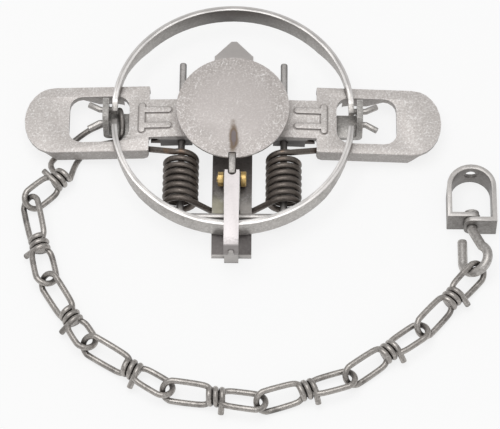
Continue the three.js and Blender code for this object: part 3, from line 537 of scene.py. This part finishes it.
# Spring rod
# One drawn steel rod bent to a U. Its closed end lies in front of the coils, and its legs run
# through the coils, the levers' necks and the brackets, and stand out behind.
rod_radius = 1.9 * mm
rod_side = 27.7 * mm
rod_level = 10.4 * mm
rod_bend = 5 * mm
rod_front = bar_y - 59 * mm
rod_rear = bar_y + 38 * mm
rod_bend_steps = 10
rod_sides = 20
rod_facing = (0.95, 0.45)
darker_middle_front = (bar_y - 55 * mm, bar_y - 51 * mm)
darker_middle_rear = (bar_y + 8 * mm, bar_y + 2 * mm)
painted_rod_side_shade = ((64, 61, 60), 0.9)
darker_rod_middle = ((70, 64, 61), 0.8)
wire_end_ease = 0.35
wire_end_steps = ((0.3, 0.93), (0, 0.7))
steep_share = 0.7


def arc(centre_a, centre_b, radius, start, end, steps):
    """The points of an arc in a plane, both ends included."""
    return [(
        centre_a + radius * math.cos(start + (end - start) * i / steps),
        centre_b + radius * math.sin(start + (end - start) * i / steps),
    ) for i in range(steps + 1)]


def drawn(points, radius, sides):
    """Round wire drawn along points, without twist, with eased ends."""
    points = [Vector(p) for p in points]
    stations = []
    for i, point in enumerate(points):
        ahead = points[min(i + 1, len(points) - 1)] - points[max(i - 1, 0)]
        stations.append((point, ahead.normalized(), radius))
    ease = wire_end_ease * radius
    for last in (0, -1):
        point, along, _ = stations[last]
        out = along if last else -along
        stations[last] = (point - out * ease, along, radius)
        more = [
            (point - out * ease * left, along, radius * share) for left, share in wire_end_steps]
        if last:
            stations.extend(more)
        else:
            stations[0:0] = reversed(more)
    side = None
    rings = []
    form = bmesh.new()
    for point, along, wide in stations:
        if side is None:
            side = Vector((0, 0, 1)) if abs(along.z) < steep_share else Vector((0, 1, 0))
        side = (side - along * side.dot(along)).normalized()
        other = along.cross(side)
        rings.append([form.verts.new(
            point + side * wide * math.cos(math.tau * k / sides)
            + other * wide * math.sin(math.tau * k / sides)) for k in range(sides)])
    for a, b in zip(rings, rings[1:]):
        for k in range(sides):
            form.faces.new((a[k], a[(k + 1) % sides], b[(k + 1) % sides], b[k]))
    form.faces.new(list(reversed(rings[0])))
    form.faces.new(rings[-1])
    return form


rod_corner = arc(
    rod_side - rod_bend, rod_front + rod_bend, rod_bend, 0, -math.pi / 2, rod_bend_steps)
rod_half = [(rod_side, rod_rear), (rod_side, (rod_rear + rod_front) / 2), *rod_corner]
rod_route = [(x, y, rod_level) for x, y in rod_half]
rod_route += [(-x, y, rod_level) for x, y in reversed(rod_half)]


def upright_share(tree, place, flat, upright):
    """1 where the face stands upright, 0 where it lies flat, by how far up its normal points."""
    facing = tree.nodes.new("ShaderNodeSeparateXYZ")
    tree.links.new(place.node.outputs["Normal"], facing.inputs[0])
    return step_node(tree, math_node(tree, "ABSOLUTE", facing.outputs["Z"]), flat, upright)


def rod_shade(tree, colour):
    """Painted shade down the rod's sides, and the rod darker from the front of the coils to the
    bar.
    """
    place, _, along, _ = object_place(tree)
    # Painted shade on the rod's upright sides.
    colour = stain_and_shading(tree, colour, painted_rod_side_shade, upright_share(tree, place, *rod_facing))
    # Darker from the front of the coils to the bar.
    front = step_node(tree, along, *darker_middle_front)
    rear = step_node(tree, along, *darker_middle_rear)
    return stain_and_shading(tree, colour, darker_rod_middle, front, rear)


rod_steel = metal(
    "rod_steel", tone(204, 200, 197), tone(88, 84, 82), tone(232, 229, 226),
    metallic=0.5, rough=0.34, grain=0.3, cloud=0.5, scratch=0.6, tint=rod_shade)
rod = finished("spring_rod", drawn(rod_route, rod_radius, rod_sides), "trap_frame")
dress(rod, rod_steel)

# Coil springs
# Dark oil-tempered wire. A flat end lies under the cross frame, seven turns go round the rod, and
# the outer arm runs out under the wide part of the lever.
spring_wire = 3.3 * mm
coil_radius = 8.2 * mm
coil_front = bar_y - 52.4 * mm
coil_rear = bar_y - 22.8 * mm
coil_turns = 7
coil_turn_steps = 28
outer_arm_reach = 47 * mm
outer_arm_end = 52 * mm
outer_arm_entry = 16.7 * mm
inner_arm_end = 6.5 * mm
inner_arm_level = 3.2 * mm
inner_arm_bend = 11.8 * mm
inner_arm_back = 2.4 * mm
# How far before the bend in wires, how much of the set-back is left, the rise in wires.
inner_arm_steps = ((-1, 0.7, 0), (-0.5, 0.6, 0.08), (0, 0.5, 0.25))
outer_arm_parts = (0.15, 0.4, 0.7, 1.0)
spring_sides = 16
coil_last = math.pi - math.acos(coil_radius / (outer_arm_reach - rod_side))
coil_across = rod_side - inner_arm_bend
coil_down = rod_level - inner_arm_level
coil_first = math.acos(coil_radius / math.hypot(coil_across, coil_down)) - math.atan2(
    coil_down, coil_across)
coil_sweep = coil_last - coil_first + math.tau * coil_turns
spring_route = [(inner_arm_end, coil_front + inner_arm_back, inner_arm_level)]
for before_bend, back_left, risen in inner_arm_steps:
    spring_route.append((
        inner_arm_bend + before_bend * spring_wire, coil_front + inner_arm_back * back_left,
        inner_arm_level + risen * spring_wire))
coil_steps = coil_turns * coil_turn_steps
for step in range(coil_steps + 1):
    coil_angle = coil_first + coil_sweep * step / coil_steps
    spring_route.append((
        rod_side - coil_radius * math.cos(coil_angle),
        coil_front + (coil_rear - coil_front) * step / coil_steps,
        rod_level + coil_radius * math.sin(coil_angle)))
coil_leave = Vector(spring_route[-1])
arm_entry = Vector((outer_arm_reach, bar_y - outer_arm_entry, rod_level))
arm_share = (outer_arm_end - coil_leave.x) / (arm_entry.x - coil_leave.x)
for arm_part in outer_arm_parts:
    spring_route.append(tuple(coil_leave.lerp(arm_entry, arm_share * arm_part)))

brass_scale = 130.0
brass_spots = (0.55, 0.68)
brass_fade = (coil_rear - 8 * mm, coil_rear + 1 * mm)
brass_mark = ((140, 112, 88), 0.55)


def brass_rub(tree, colour):
    """Brassy rub marks on the outer arm and the first turns, where the lever slides on them."""
    place, _, along, _ = object_place(tree)
    spots = step_node(tree, noise_node(tree, place, brass_scale, detail=3), *brass_spots)
    rear = step_node(tree, along, *brass_fade)
    return stain_and_shading(tree, colour, brass_mark, spots, rear)


spring_steel = metal(
    "spring_wire", tone(108, 100, 94), tone(54, 49, 46), tone(156, 149, 140),
    metallic=0.6, rough=0.38, grain=0.3, grain_scale=1100.0, cloud=0.55, cloud_scale=90.0,
    scratch=0.3, rub=0.0, tint=brass_rub)
for spring_name, spring_side, lever_body in (
    ("right_spring", 1, "right_lever"), ("left_spring", -1, "left_lever"),
):
    spring_form = drawn(
        [(spring_side * x, y, z) for x, y, z in spring_route], spring_wire / 2, spring_sides)
    spring = finished(spring_name, spring_form, None)
    dress(spring, spring_steel)
    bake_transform(spring)

# Levers
# Pressed from galvanised sheet, with a narrow channel at the rod, a wide window for the post and
# turned-down flanges. The bends are round, and the surface is warm grey with fine bright grains.
sheet_bend = 1.4 * mm
sheet_edge = 0.3 * mm
lever_rise = 5.7 * mm
lever_slope = math.radians(2.9)
bend_below = 1.0 * mm
bend_above = 0.2 * mm
flange_across = 19.4 * mm
flange_from = 46.5 * mm
flange_to = 100.5 * mm
neck_flange_across = 11.3 * mm
neck_flange_to = 39.4 * mm


def on_lever_bend(place):
    """The long top edges where the sheet turns down into the flanges."""
    across = abs(place.y - bar_y)
    out = abs(place.x)
    top = rod_level + lever_rise - (out - rod_side) * math.tan(lever_slope)
    if not top - bend_below < place.z < top + bend_above:
        return False
    on_flange = across > flange_across and flange_from < out < flange_to
    return on_flange or across > neck_flange_across and out < neck_flange_to


rib_round = 1.7 * mm
rib_from = 34.9 * mm
rib_to = 49.3 * mm
rib_arm = 4.9 * mm
rib_half = 7.5 * mm
rib_line_inside = (rib_round - 0.45 * mm, rib_round + 0.1 * mm)
rib_line_outside = (rib_round + 1.0 * mm, rib_round + 0.3 * mm)
neck_fade = (45.3 * mm, 44.6 * mm)
neck_low_fade = (13.6 * mm, 11.8 * mm)
flange_facing = (0.6, 0.2)
painted_rib_shade = ((104, 96, 92), 0.6)
painted_neck_shade = ((48, 41, 40), 0.95)
painted_flange_shade = ((118, 115, 113), 0.4)


def length_node(tree, a, b):
    """The length of the two legs a and b."""
    squares = math_node(
        tree, "ADD", math_node(tree, "MULTIPLY", a, a), math_node(tree, "MULTIPLY", b, b))
    return math_node(tree, "SQRT", squares)


def lever_shade(tree, colour):
    """Painted shade: dark outlines round the pressed ribs, low on the neck beside the spring, and
    on the upright flanges.
    """
    place, across, along, up = object_place(tree)
    out = math_node(tree, "ABSOLUTE", across)
    side = math_node(tree, "ABSOLUTE", math_node(tree, "SUBTRACT", along, bar_y))
    short = math_node(
        tree, "MAXIMUM", math_node(tree, "SUBTRACT", rib_from, out),
        math_node(tree, "SUBTRACT", out, rib_to))
    to_arm = length_node(
        tree, math_node(tree, "MAXIMUM", short), math_node(tree, "SUBTRACT", side, rib_arm))
    to_bar = length_node(
        tree, math_node(tree, "SUBTRACT", out, rib_to),
        math_node(tree, "MAXIMUM", math_node(tree, "SUBTRACT", side, rib_half)))
    off = math_node(tree, "MINIMUM", to_arm, to_bar)
    # Painted shade outlining the pressed ribs.
    inner = step_node(tree, off, *rib_line_inside)
    outer = step_node(tree, off, *rib_line_outside)
    colour = stain_and_shading(tree, colour, painted_rib_shade, inner, outer)
    # Painted shade low on the neck, under the spring arm.
    neck = step_node(tree, out, *neck_fade)
    low = step_node(tree, up, *neck_low_fade)
    colour = stain_and_shading(tree, colour, painted_neck_shade, neck, low)
    # Painted shade on upright faces such as the flanges.
    return stain_and_shading(tree, colour, painted_flange_shade, upright_share(tree, place, *flange_facing))


# Dirt and strong painted shade in the hollows, outlining the ribs and folds.
galvanised = metal(
    "galvanised_sheet", tone(205, 199, 195), tone(172, 166, 162), tone(252, 250, 248),
    metallic=0.25, rough=0.46, grain=0.65, grain_scale=1000.0, cloud=0.2, cloud_scale=55.0,
    scratch=0.5, rub=0.6, hollow=0.8, reach=1.6, dirt_and_shade_colour=tone(92, 84, 80), tint=lever_shade)
for lever_name in ("right_lever", "left_lever"):
    lever = eased(lever_name, lever_name, sheet_edge, sheet_bend, on_lever_bend)
    dress(lever, galvanised)

# Jaws
# Two half hoops of bright plated band standing on edge. Their upper edges are painted nearly white
# as a highlight, and their ends narrow to round tangs that turn in the posts.
jaw_edge = 0.55 * mm
jaw_arc_middle = 4.2 * mm
jaw_line_radius = 64.2 * mm
jaw_line_half = 0.5 * mm
jaw_face_radius = 62.95 * mm
jaw_face_fade = (jaw_face_radius, jaw_face_radius - 0.15 * mm)
jaw_top_fade = (20.2 * mm, 20.5 * mm)
jaw_shade_reach = 75 * mm
painted_top_highlight = ((246, 243, 241), 0.7)
top_line = ((142, 137, 133), 0.4)
painted_dark_reflection = ((84, 81, 79), 0.85)


def band_line(tree, colour):
    """The top edge is painted nearly white as a highlight, with a grey line along it. The rear
    jaw's inner face carries a painted dark reflection.
    """
    _, across, along, up = object_place(tree)
    rear = math_node(tree, "SUBTRACT", along, bar_y)
    side = math_node(tree, "ABSOLUTE", rear)
    off = length_node(tree, across, math_node(tree, "SUBTRACT", side, jaw_arc_middle))
    apart = math_node(tree, "ABSOLUTE", math_node(tree, "SUBTRACT", off, jaw_line_radius))
    middle = step_node(tree, apart, jaw_line_half, jaw_line_half / 2)
    level = step_node(tree, up, *jaw_top_fade)
    # Painted highlight over the top edge.
    colour = stain_and_shading(tree, colour, painted_top_highlight, level)
    colour = stain_and_shading(tree, colour, top_line, middle, level)
    # Painted dark reflection of the frame and pan on the rear jaw's inner face.
    inside = step_node(tree, off, *jaw_face_fade)
    behind = step_node(tree, rear, 0, jaw_arc_middle)
    centre = step_node(tree, math_node(tree, "ABSOLUTE", across), jaw_shade_reach, 0)
    return stain_and_shading(tree, colour, painted_dark_reflection, inside, behind, centre)


bright_band = metal(
    "bright_band", tone(180, 176, 172), tone(112, 109, 106), tone(230, 227, 224),
    metallic=0.75, rough=0.38, grain=0.4, grain_scale=800.0, cloud=0.4, cloud_scale=70.0,
    scratch=0.5, rub=0.8, rub_radius=0.8, tint=band_line)
for jaw_name in ("front_jaw", "rear_jaw"):
    dress(eased(jaw_name, jaw_name, jaw_edge), bright_band)

# Dog
# A flat bright strip. Its rolled end turns in the eye of the front post, it lies over the front
# jaw, and its forked end is held by the pan's catch.
dog_edge = 0.35 * mm
dog_face_y = bar_y - 84.5 * mm
dog_bend_fade = (dog_face_y + 5 * mm, dog_face_y - 0.6 * mm)
dog_low_fade = (26.9 * mm, 25.4 * mm)
dog_face_fade = (dog_face_y + 2 * mm, dog_face_y)
speckle_scale = 900.0
speckle_spread = 8 * mm
painted_bend_shade = ((168, 162, 160), 0.55)
painted_face_shade = ((128, 122, 120), 0.75)


def front_shade(tree, colour):
    """Painted shade on the end that turns down: greyer at the bend, where it is speckled, and
    darker on the down-turned face.
    """
    place, _, along, up = object_place(tree)
    grain = noise_node(tree, place, speckle_scale, detail=3)
    speckle = math_node(tree, "SUBTRACT", grain, 0.5)
    wobble = product(tree, speckle, speckle_spread)
    bend = step_node(tree, math_node(tree, "ADD", along, wobble), *dog_bend_fade)
    colour = stain_and_shading(tree, colour, painted_bend_shade, bend)
    low = step_node(tree, up, *dog_low_fade)
    face = step_node(tree, along, *dog_face_fade)
    return stain_and_shading(tree, colour, painted_face_shade, low, face)


bright_strip = metal(
    "bright_strip", tone(247, 240, 240), tone(172, 167, 165), tone(253, 249, 248),
    metallic=0.12, rough=0.4, grain=0.15, cloud=0.2, scratch=0.3, rub=0.4, tint=front_shade)
dress(eased("dog", "dog", dog_edge), bright_strip)

# Pan and its shank
# A round sheet pan, welded to an upright shank whose nose is the catch. The weld has left a
# brown heat mark on the top of the pan.
pan_edge = 0.3 * mm
weld_place = (0.6 * mm, bar_y - 18.6 * mm, 26 * mm)
weld_reach = (2.9 * mm, 11 * mm, 60 * mm)
weld_scale = 260.0
weld_wobble = 0.7
weld_outside = (1.5, 0.85)
weld_inside = (0.95, 0.6)
pan_worn_fade = (28 * mm, 16 * mm)
heat_brown = ((106, 86, 64), 0.95)
heat_blue = ((118, 110, 114), 0.8)
pan_worn = ((197, 190, 187), 0.65)


def weld_tint(tree, colour):
    """A narrow heat mark over the shank, brown with a blue-grey middle."""
    place, *_ = object_place(tree)
    moved = tree.nodes.new("ShaderNodeMapping")
    moved.vector_type = "TEXTURE"
    moved.inputs["Location"].default_value = weld_place
    moved.inputs["Scale"].default_value = weld_reach
    tree.links.new(place, moved.inputs["Vector"])
    length = tree.nodes.new("ShaderNodeVectorMath")
    length.operation = "LENGTH"
    tree.links.new(moved.outputs["Vector"], length.inputs[0])
    wobble = product(tree, noise_node(tree, place, weld_scale, detail=3), weld_wobble)
    reach = math_node(tree, "ADD", length.outputs["Value"], wobble)
    colour = stain_and_shading(tree, colour, heat_brown, step_node(tree, reach, *weld_outside))
    return stain_and_shading(tree, colour, heat_blue, step_node(tree, reach, *weld_inside))


def pan_wear(tree, colour):
    """The middle of the pan is rubbed smooth, so its grain shows towards the rim."""
    _, across, along, _ = object_place(tree)
    off = length_node(tree, across, math_node(tree, "SUBTRACT", along, bar_y))
    colour = stain_and_shading(tree, colour, pan_worn, step_node(tree, off, *pan_worn_fade))
    return weld_tint(tree, colour)


pan_sheet = metal(
    "pan_sheet", tone(188, 181, 177), tone(152, 146, 142), tone(246, 243, 241),
    metallic=0.2, rough=0.48, grain=0.65, grain_scale=1000.0, cloud=0.25, cloud_scale=60.0,
    scratch=0.9, rub=0.9, tint=pan_wear)
shank_steel = metal(
    "shank_steel", tone(168, 164, 160), tone(84, 80, 78), tone(222, 220, 216),
    metallic=0.75, rough=0.4, tint=weld_tint)
dress(eased("pan", "pan", pan_edge), pan_sheet)
dress(eased("pan_shank", "pan", pan_edge), shank_steel)

# Pan bracket, bolt and nut
# A zinc plated stirrup on the front arm. The pan turns on a yellow zinc bolt with a hexagon nut.
bracket_edge = 0.25 * mm
bolt_edge = 0.3 * mm
nut_edge = 0.25 * mm
yellow_zinc = metal(
    "yellow_zinc", tone(224, 190, 122), tone(132, 100, 52), tone(250, 232, 180),
    metallic=0.65, rough=0.34, grain=0.3, cloud=0.5, scratch=0.2)
dress(eased("pan_bracket", "trap_frame", bracket_edge), zinc_bar)
dress(eased("pan_bolt", "trap_frame", bolt_edge), yellow_zinc)
dress(eased("pan_nut", "trap_frame", nut_edge), yellow_zinc)

# Chain
# Eight links of zinc plated wire. Each is one wire bent into two long loops, its ends wound round
# the middle as a knot. The first one passes under the base bar and back over it, at the left post.
chain_wire = 3.2 * mm
chain_radius = chain_wire / 2
chain_level = 6.4 * mm
chain_play = 1.6 * mm
chain_span = 100 * mm
chain_sides = 14
loop_half_width = 5.7 * mm
loop_flare = 6 * mm
loop_shoulder_share = 0.92
loop_straight_share = 0.6
loop_bend_steps = 8
curve_steps = 4
leg_spread = 1.5 * mm
knot_radius = 4 * mm
knot_pitch = 3.5 * mm
knot_turns = 2.25
knot_turn_steps = 24
knot_tail = 8 * mm
knot_tail_parts = (0.4, 1.0)
knot_core_half = knot_turns * knot_pitch / 2
flat_roll = math.radians(-18)
first_roll = math.radians(-38)
upright_roll = math.radians(46)
knot_place_shares = [
    (-0.935, -0.341), (-0.99, -0.74), (-0.86, -1.2), (-0.54, -1.541),
    (-0.078, -1.7), (0.43, -1.69), (0.875, -1.434), (1.197, -1.079),
]
meeting_place_shares = [
    (-1.086, -0.481), (-0.975, -0.96), (-0.745, -1.342), (-0.324, -1.612),
    (0.165, -1.681), (0.629, -1.53), (1.009, -1.242),
]
hook_across = 128.6 * mm
hook_bow = 7.8 * mm
hook_bow_centre = bar_y - 82.4 * mm
hook_bow_shift = 1.5 * mm
hook_roll = math.radians(-35)
hook_radius = 2.6 * mm
hook_play = 1.2 * mm
knots = [Vector((x * chain_span, bar_y + y * chain_span)) for x, y in knot_place_shares]
meetings = [Vector((x * chain_span, bar_y + y * chain_span)) for x, y in meeting_place_shares]
hook_bottom = Vector((
    hook_across + hook_bow_shift * math.cos(hook_roll), hook_bow_centre - hook_bow))
end_reach = chain_radius + chain_play / 2


def smoothed(points):
    """More points on a smooth curve through the given ones."""
    points = [Vector(p) for p in points]
    route = []
    for i in range(len(points) - 1):
        before = points[max(i - 1, 0)]
        a, b = points[i], points[i + 1]
        after = points[min(i + 2, len(points) - 1)]
        for k in range(curve_steps):
            t = k / curve_steps
            route.append(0.5 * (
                2 * a + (b - before) * t + (2 * before - 5 * a + 4 * b - after) * t ** 2
                + (3 * a - before - 3 * b + after) * t ** 3))
    route.append(points[-1])
    return route


def loop_route(length, roll):
    """One loop of a link, out from the knot, round its end and back."""
    straight = length - loop_half_width
    leg = [
        (0, leg_spread), (loop_flare / 2, (leg_spread + loop_half_width) / 2),
        (loop_flare, loop_half_width * loop_shoulder_share),
        (max(loop_flare, straight * loop_straight_share), loop_half_width),
    ]
    bend = arc(straight, 0, loop_half_width, -math.pi / 2, math.pi / 2, loop_bend_steps)
    flat = [(x, -y) for x, y in leg] + bend + list(reversed(leg))
    return smoothed([(x, y * math.cos(roll), y * math.sin(roll)) for x, y in flat])


def knot_route(lead):
    """The wire wound round the middle of a link, and its end, which stands out at a tangent."""
    steps = round(knot_turns * knot_turn_steps)
    turns = [(
        (i / steps - 0.5) * knot_turns * knot_pitch,
        knot_radius * math.cos(math.tau * i / knot_turn_steps + lead),
        knot_radius * math.sin(math.tau * i / knot_turn_steps + lead),
    ) for i in range(steps + 1)]
    last = math.tau * knot_turns + lead
    x, y, z = turns[-1]
    return turns + [
        (x, y - knot_tail * part * math.sin(last), z + knot_tail * part * math.cos(last))
        for part in knot_tail_parts]


def put_together(forms, place=None):
    """Several closed forms as one mesh, each turned and moved by place."""
    whole = bmesh.new()
    for form in forms:
        part = bpy.data.meshes.new("part")
        form.to_mesh(part)
        form.free()
        if place:
            part.transform(place)
        whole.from_mesh(part)
        bpy.data.meshes.remove(part)
    return whole


low_link_fade = (7 * mm, 1 * mm)
low_patch_scale = 110.0
low_patch_break = (0.4, 0.65)
low_link_tone = ((62, 58, 56), 0.6)


def crevice(tree, colour):
    """Darker low down on the links, in patches."""
    place, _, _, up = object_place(tree)
    low = step_node(tree, up, *low_link_fade)
    patch = step_node(tree, noise_node(tree, place, low_patch_scale, detail=3), *low_patch_break)
    return stain_and_shading(tree, colour, low_link_tone, low, patch)


# The large hollow and reach give the lower halves of the wires, close over the floor, painted
# shade.
chain_steel = metal(
    "chain_wire", tone(170, 165, 160), tone(76, 72, 70), tone(226, 223, 219),
    metallic=0.7, rough=0.34, grain=0.35, grain_scale=900.0, cloud=0.5, cloud_scale=110.0,
    scratch=0.5, rub=0.0, hollow=0.9, reach=7.0, dirt_and_shade_colour=tone(60, 56, 54), tint=crevice)


def loop_form(length, roll, way=1):
    """One loop of a link. way is -1 for the loop that runs back from the knot."""
    route = [(way * x, y, z) for x, y, z in loop_route(length, roll)]
    return drawn(route, chain_radius, chain_sides)


def knot_forms(lead):
    """The legs inside a knot and the wire wound round them."""
    core = drawn(
        [(-knot_core_half, 0, 0), (0, 0, 0), (knot_core_half, 0, 0)], leg_spread + chain_radius,
        chain_sides)
    return [core, drawn(knot_route(lead), chain_radius, chain_sides)]


def along_ground(start, way):
    """Where a form drawn along X lies in the chain: its middle at start, turned to the way."""
    return Matrix.Translation((start.x, start.y, chain_level)) @ Matrix.Rotation(
        math.atan2(way.y, way.x), 4, "Z")


last_link = len(knots)
for number in range(2, last_link + 1):
    is_last = number == last_link
    begin = meetings[number - 2]
    finish = hook_bottom if is_last else meetings[number - 1]
    run = finish - begin
    knot_share = (knots[number - 1] - begin).dot(run) / run.length_squared
    grip = hook_radius + chain_radius + hook_play if is_last else end_reach
    front_roll = upright_roll if is_last else flat_roll
    forms = [
        loop_form(run.length * (1 - knot_share) + grip, front_roll),
        loop_form(run.length * knot_share + end_reach, upright_roll, -1),
        *knot_forms(upright_roll),
    ]
    link_name = f"chain_link_{number}"
    link_place = along_ground(begin.lerp(finish, knot_share), run)
    link = finished(link_name, put_together(forms, link_place), link_name)
    dress(link, chain_steel)

# The other loop of the first link runs under the bar, up behind it and back over it. Its points are
# shares: out from the post's face, across the bar from front to back, and up to above the bar.
post_face = 67.1 * mm
bar_half_width = 7 * mm
bar_top = 8.2 * mm
link_gap = 0.3 * mm
first_knot = knots[0]
first_run = meetings[0] - first_knot
beside = bar_half_width + chain_radius + link_gap
over = bar_top + chain_radius + 2 * link_gap
inward = Vector((-first_knot.x, bar_y - first_knot.y)).normalized()
loop_start = first_knot + inward * 2 * leg_spread
first_loop_shares = [
    (5.5, -2.674, 0.26), (5, -1.888, 0.183), (3.4, -0.787, 0.183), (2, 0, 0.183),
    (0.5, 0.551, 0.183), (-0.25, 1, 0.471), (-0.5, 1, 0.644), (-0.8, 1, 0.788),
    (-1, 0.787, 1), (-1.2, 0, 1), (-1.2, -0.787, 1), (-1, -1, 0.788), (-0.7, -1, 0.5),
    (0, -1, 0.337), (1, -1.034, 0.183), (1.8, -1.18, 0.183), (3.1, -2.36, 0.183),
]
first_loop = [(loop_start.x - leg_spread, loop_start.y - leg_spread, chain_level - chain_radius)]
first_loop += [
    (-post_face - out_share * loop_half_width, bar_y + back_share * beside, up_share * over)
    for out_share, back_share, up_share in first_loop_shares]
first_loop.append((loop_start.x + 2 * leg_spread, loop_start.y, chain_level - chain_radius))
first_forms = put_together(
    [loop_form(first_run.length + end_reach, first_roll), *knot_forms(0)],
    along_ground(first_knot, first_run))
first_form = put_together([first_forms, drawn(smoothed(first_loop), chain_radius, chain_sides)])
first_link = finished("chain_link_1", first_form, "trap_frame")
dress(first_link, chain_steel)

# Swivel hook and clevis
# The hook is a round rod whose peened head turns in the clevis. The clevis is a plated strip bent
# to a D, with two tabs that overlap round the rod and a hole in its arch.
hook_level = 7.6 * mm
hook_head = bar_y - 55 * mm
hook_head_radius = 4 * mm
hook_head_length = 1.3 * mm
hook_shank_end = bar_y - 65.5 * mm
hook_tail = 13.5 * mm
hook_bow_start = math.radians(55)
hook_bow_steps = 40
hook_sides = 20
head_sides = 24
hook_bow_route = arc(
    hook_bow_shift, hook_bow_centre, hook_bow, hook_bow_start, -math.pi, hook_bow_steps)
hook_shank = [
    hook_head, (hook_head + hook_shank_end) / 2, hook_shank_end + hook_radius]
hook_turn = [(0, y, 0) for y in hook_shank]
hook_turn += [(hook_radius / 4, hook_shank_end, 0), (*hook_bow_route[0], 0)]
hook_route = smoothed(hook_turn)[:-1]
hook_route += [(x, y, 0) for x, y in hook_bow_route]
hook_route += [
    (hook_bow_shift - hook_bow, hook_bow_centre + hook_tail * part, 0) for part in (0.5, 1)]
head_route = [(0, hook_head + hook_head_length * part, 0) for part in (0, 0.5, 1)]
hook_place = Matrix.Translation((hook_across, 0, hook_level)) @ Matrix.Rotation(hook_roll, 4, "Y")
hook_form = put_together([
    drawn(hook_route, hook_radius, hook_sides), drawn(head_route, hook_head_radius, head_sides),
], hook_place)
clevis_edge = 0.35 * mm
clevis_edge_level = 14 * mm
clevis_tab_y = bar_y - 58 * mm
clevis_rim_fade = (clevis_edge_level, clevis_edge_level + 0.3 * mm)
clevis_face_fade = (clevis_edge_level, clevis_edge_level - 0.5 * mm)
clevis_inside_fade = (clevis_tab_y, clevis_tab_y + 2 * mm)
clevis_tab_fade = (clevis_tab_y, clevis_tab_y - 1 * mm)
tab_facing = (0.6, 0.3)
painted_inner_shade = ((106, 101, 99), 0.7)
painted_tab_shade = ((92, 88, 86), 0.5)
bright_rim = ((214, 210, 207), 0.6)


def clevis_shade(tree, colour):
    """Painted shade on the strip's inner face and on the upright faces of its front tabs. The top
    edge is lighter.
    """
    place, _, along, up = object_place(tree)
    face = step_node(tree, up, *clevis_face_fade)
    inside = step_node(tree, along, *clevis_inside_fade)
    colour = stain_and_shading(tree, colour, painted_inner_shade, face, inside)
    tab = step_node(tree, along, *clevis_tab_fade)
    colour = stain_and_shading(tree, colour, painted_tab_shade, tab, upright_share(tree, place, *tab_facing))
    return stain_and_shading(tree, colour, bright_rim, step_node(tree, up, *clevis_rim_fade))


# Dirt and strong painted shade in the hook's hollows.
swivel_steel = metal(
    "swivel_steel", tone(182, 178, 174), tone(104, 100, 97), tone(228, 225, 222),
    metallic=0.65, rough=0.4, grain=0.5, grain_scale=800.0, cloud=0.4, cloud_scale=85.0,
    scratch=0.5, rub=0.5, hollow=0.8, dirt_and_shade_colour=tone(76, 72, 70))
clevis_steel = metal(
    "clevis_steel", tone(176, 172, 168), tone(104, 100, 97), tone(228, 225, 222),
    metallic=0.55, rough=0.42, grain=0.5, grain_scale=800.0, cloud=0.4, cloud_scale=85.0,
    scratch=0.5, rub=0.5, rub_radius=0.4, tint=clevis_shade)
hook = finished("swivel_hook", hook_form, "swivel_hook")
dress(hook, swivel_steel)
dress(eased("swivel_clevis", "swivel_clevis", clevis_edge), clevis_steel)
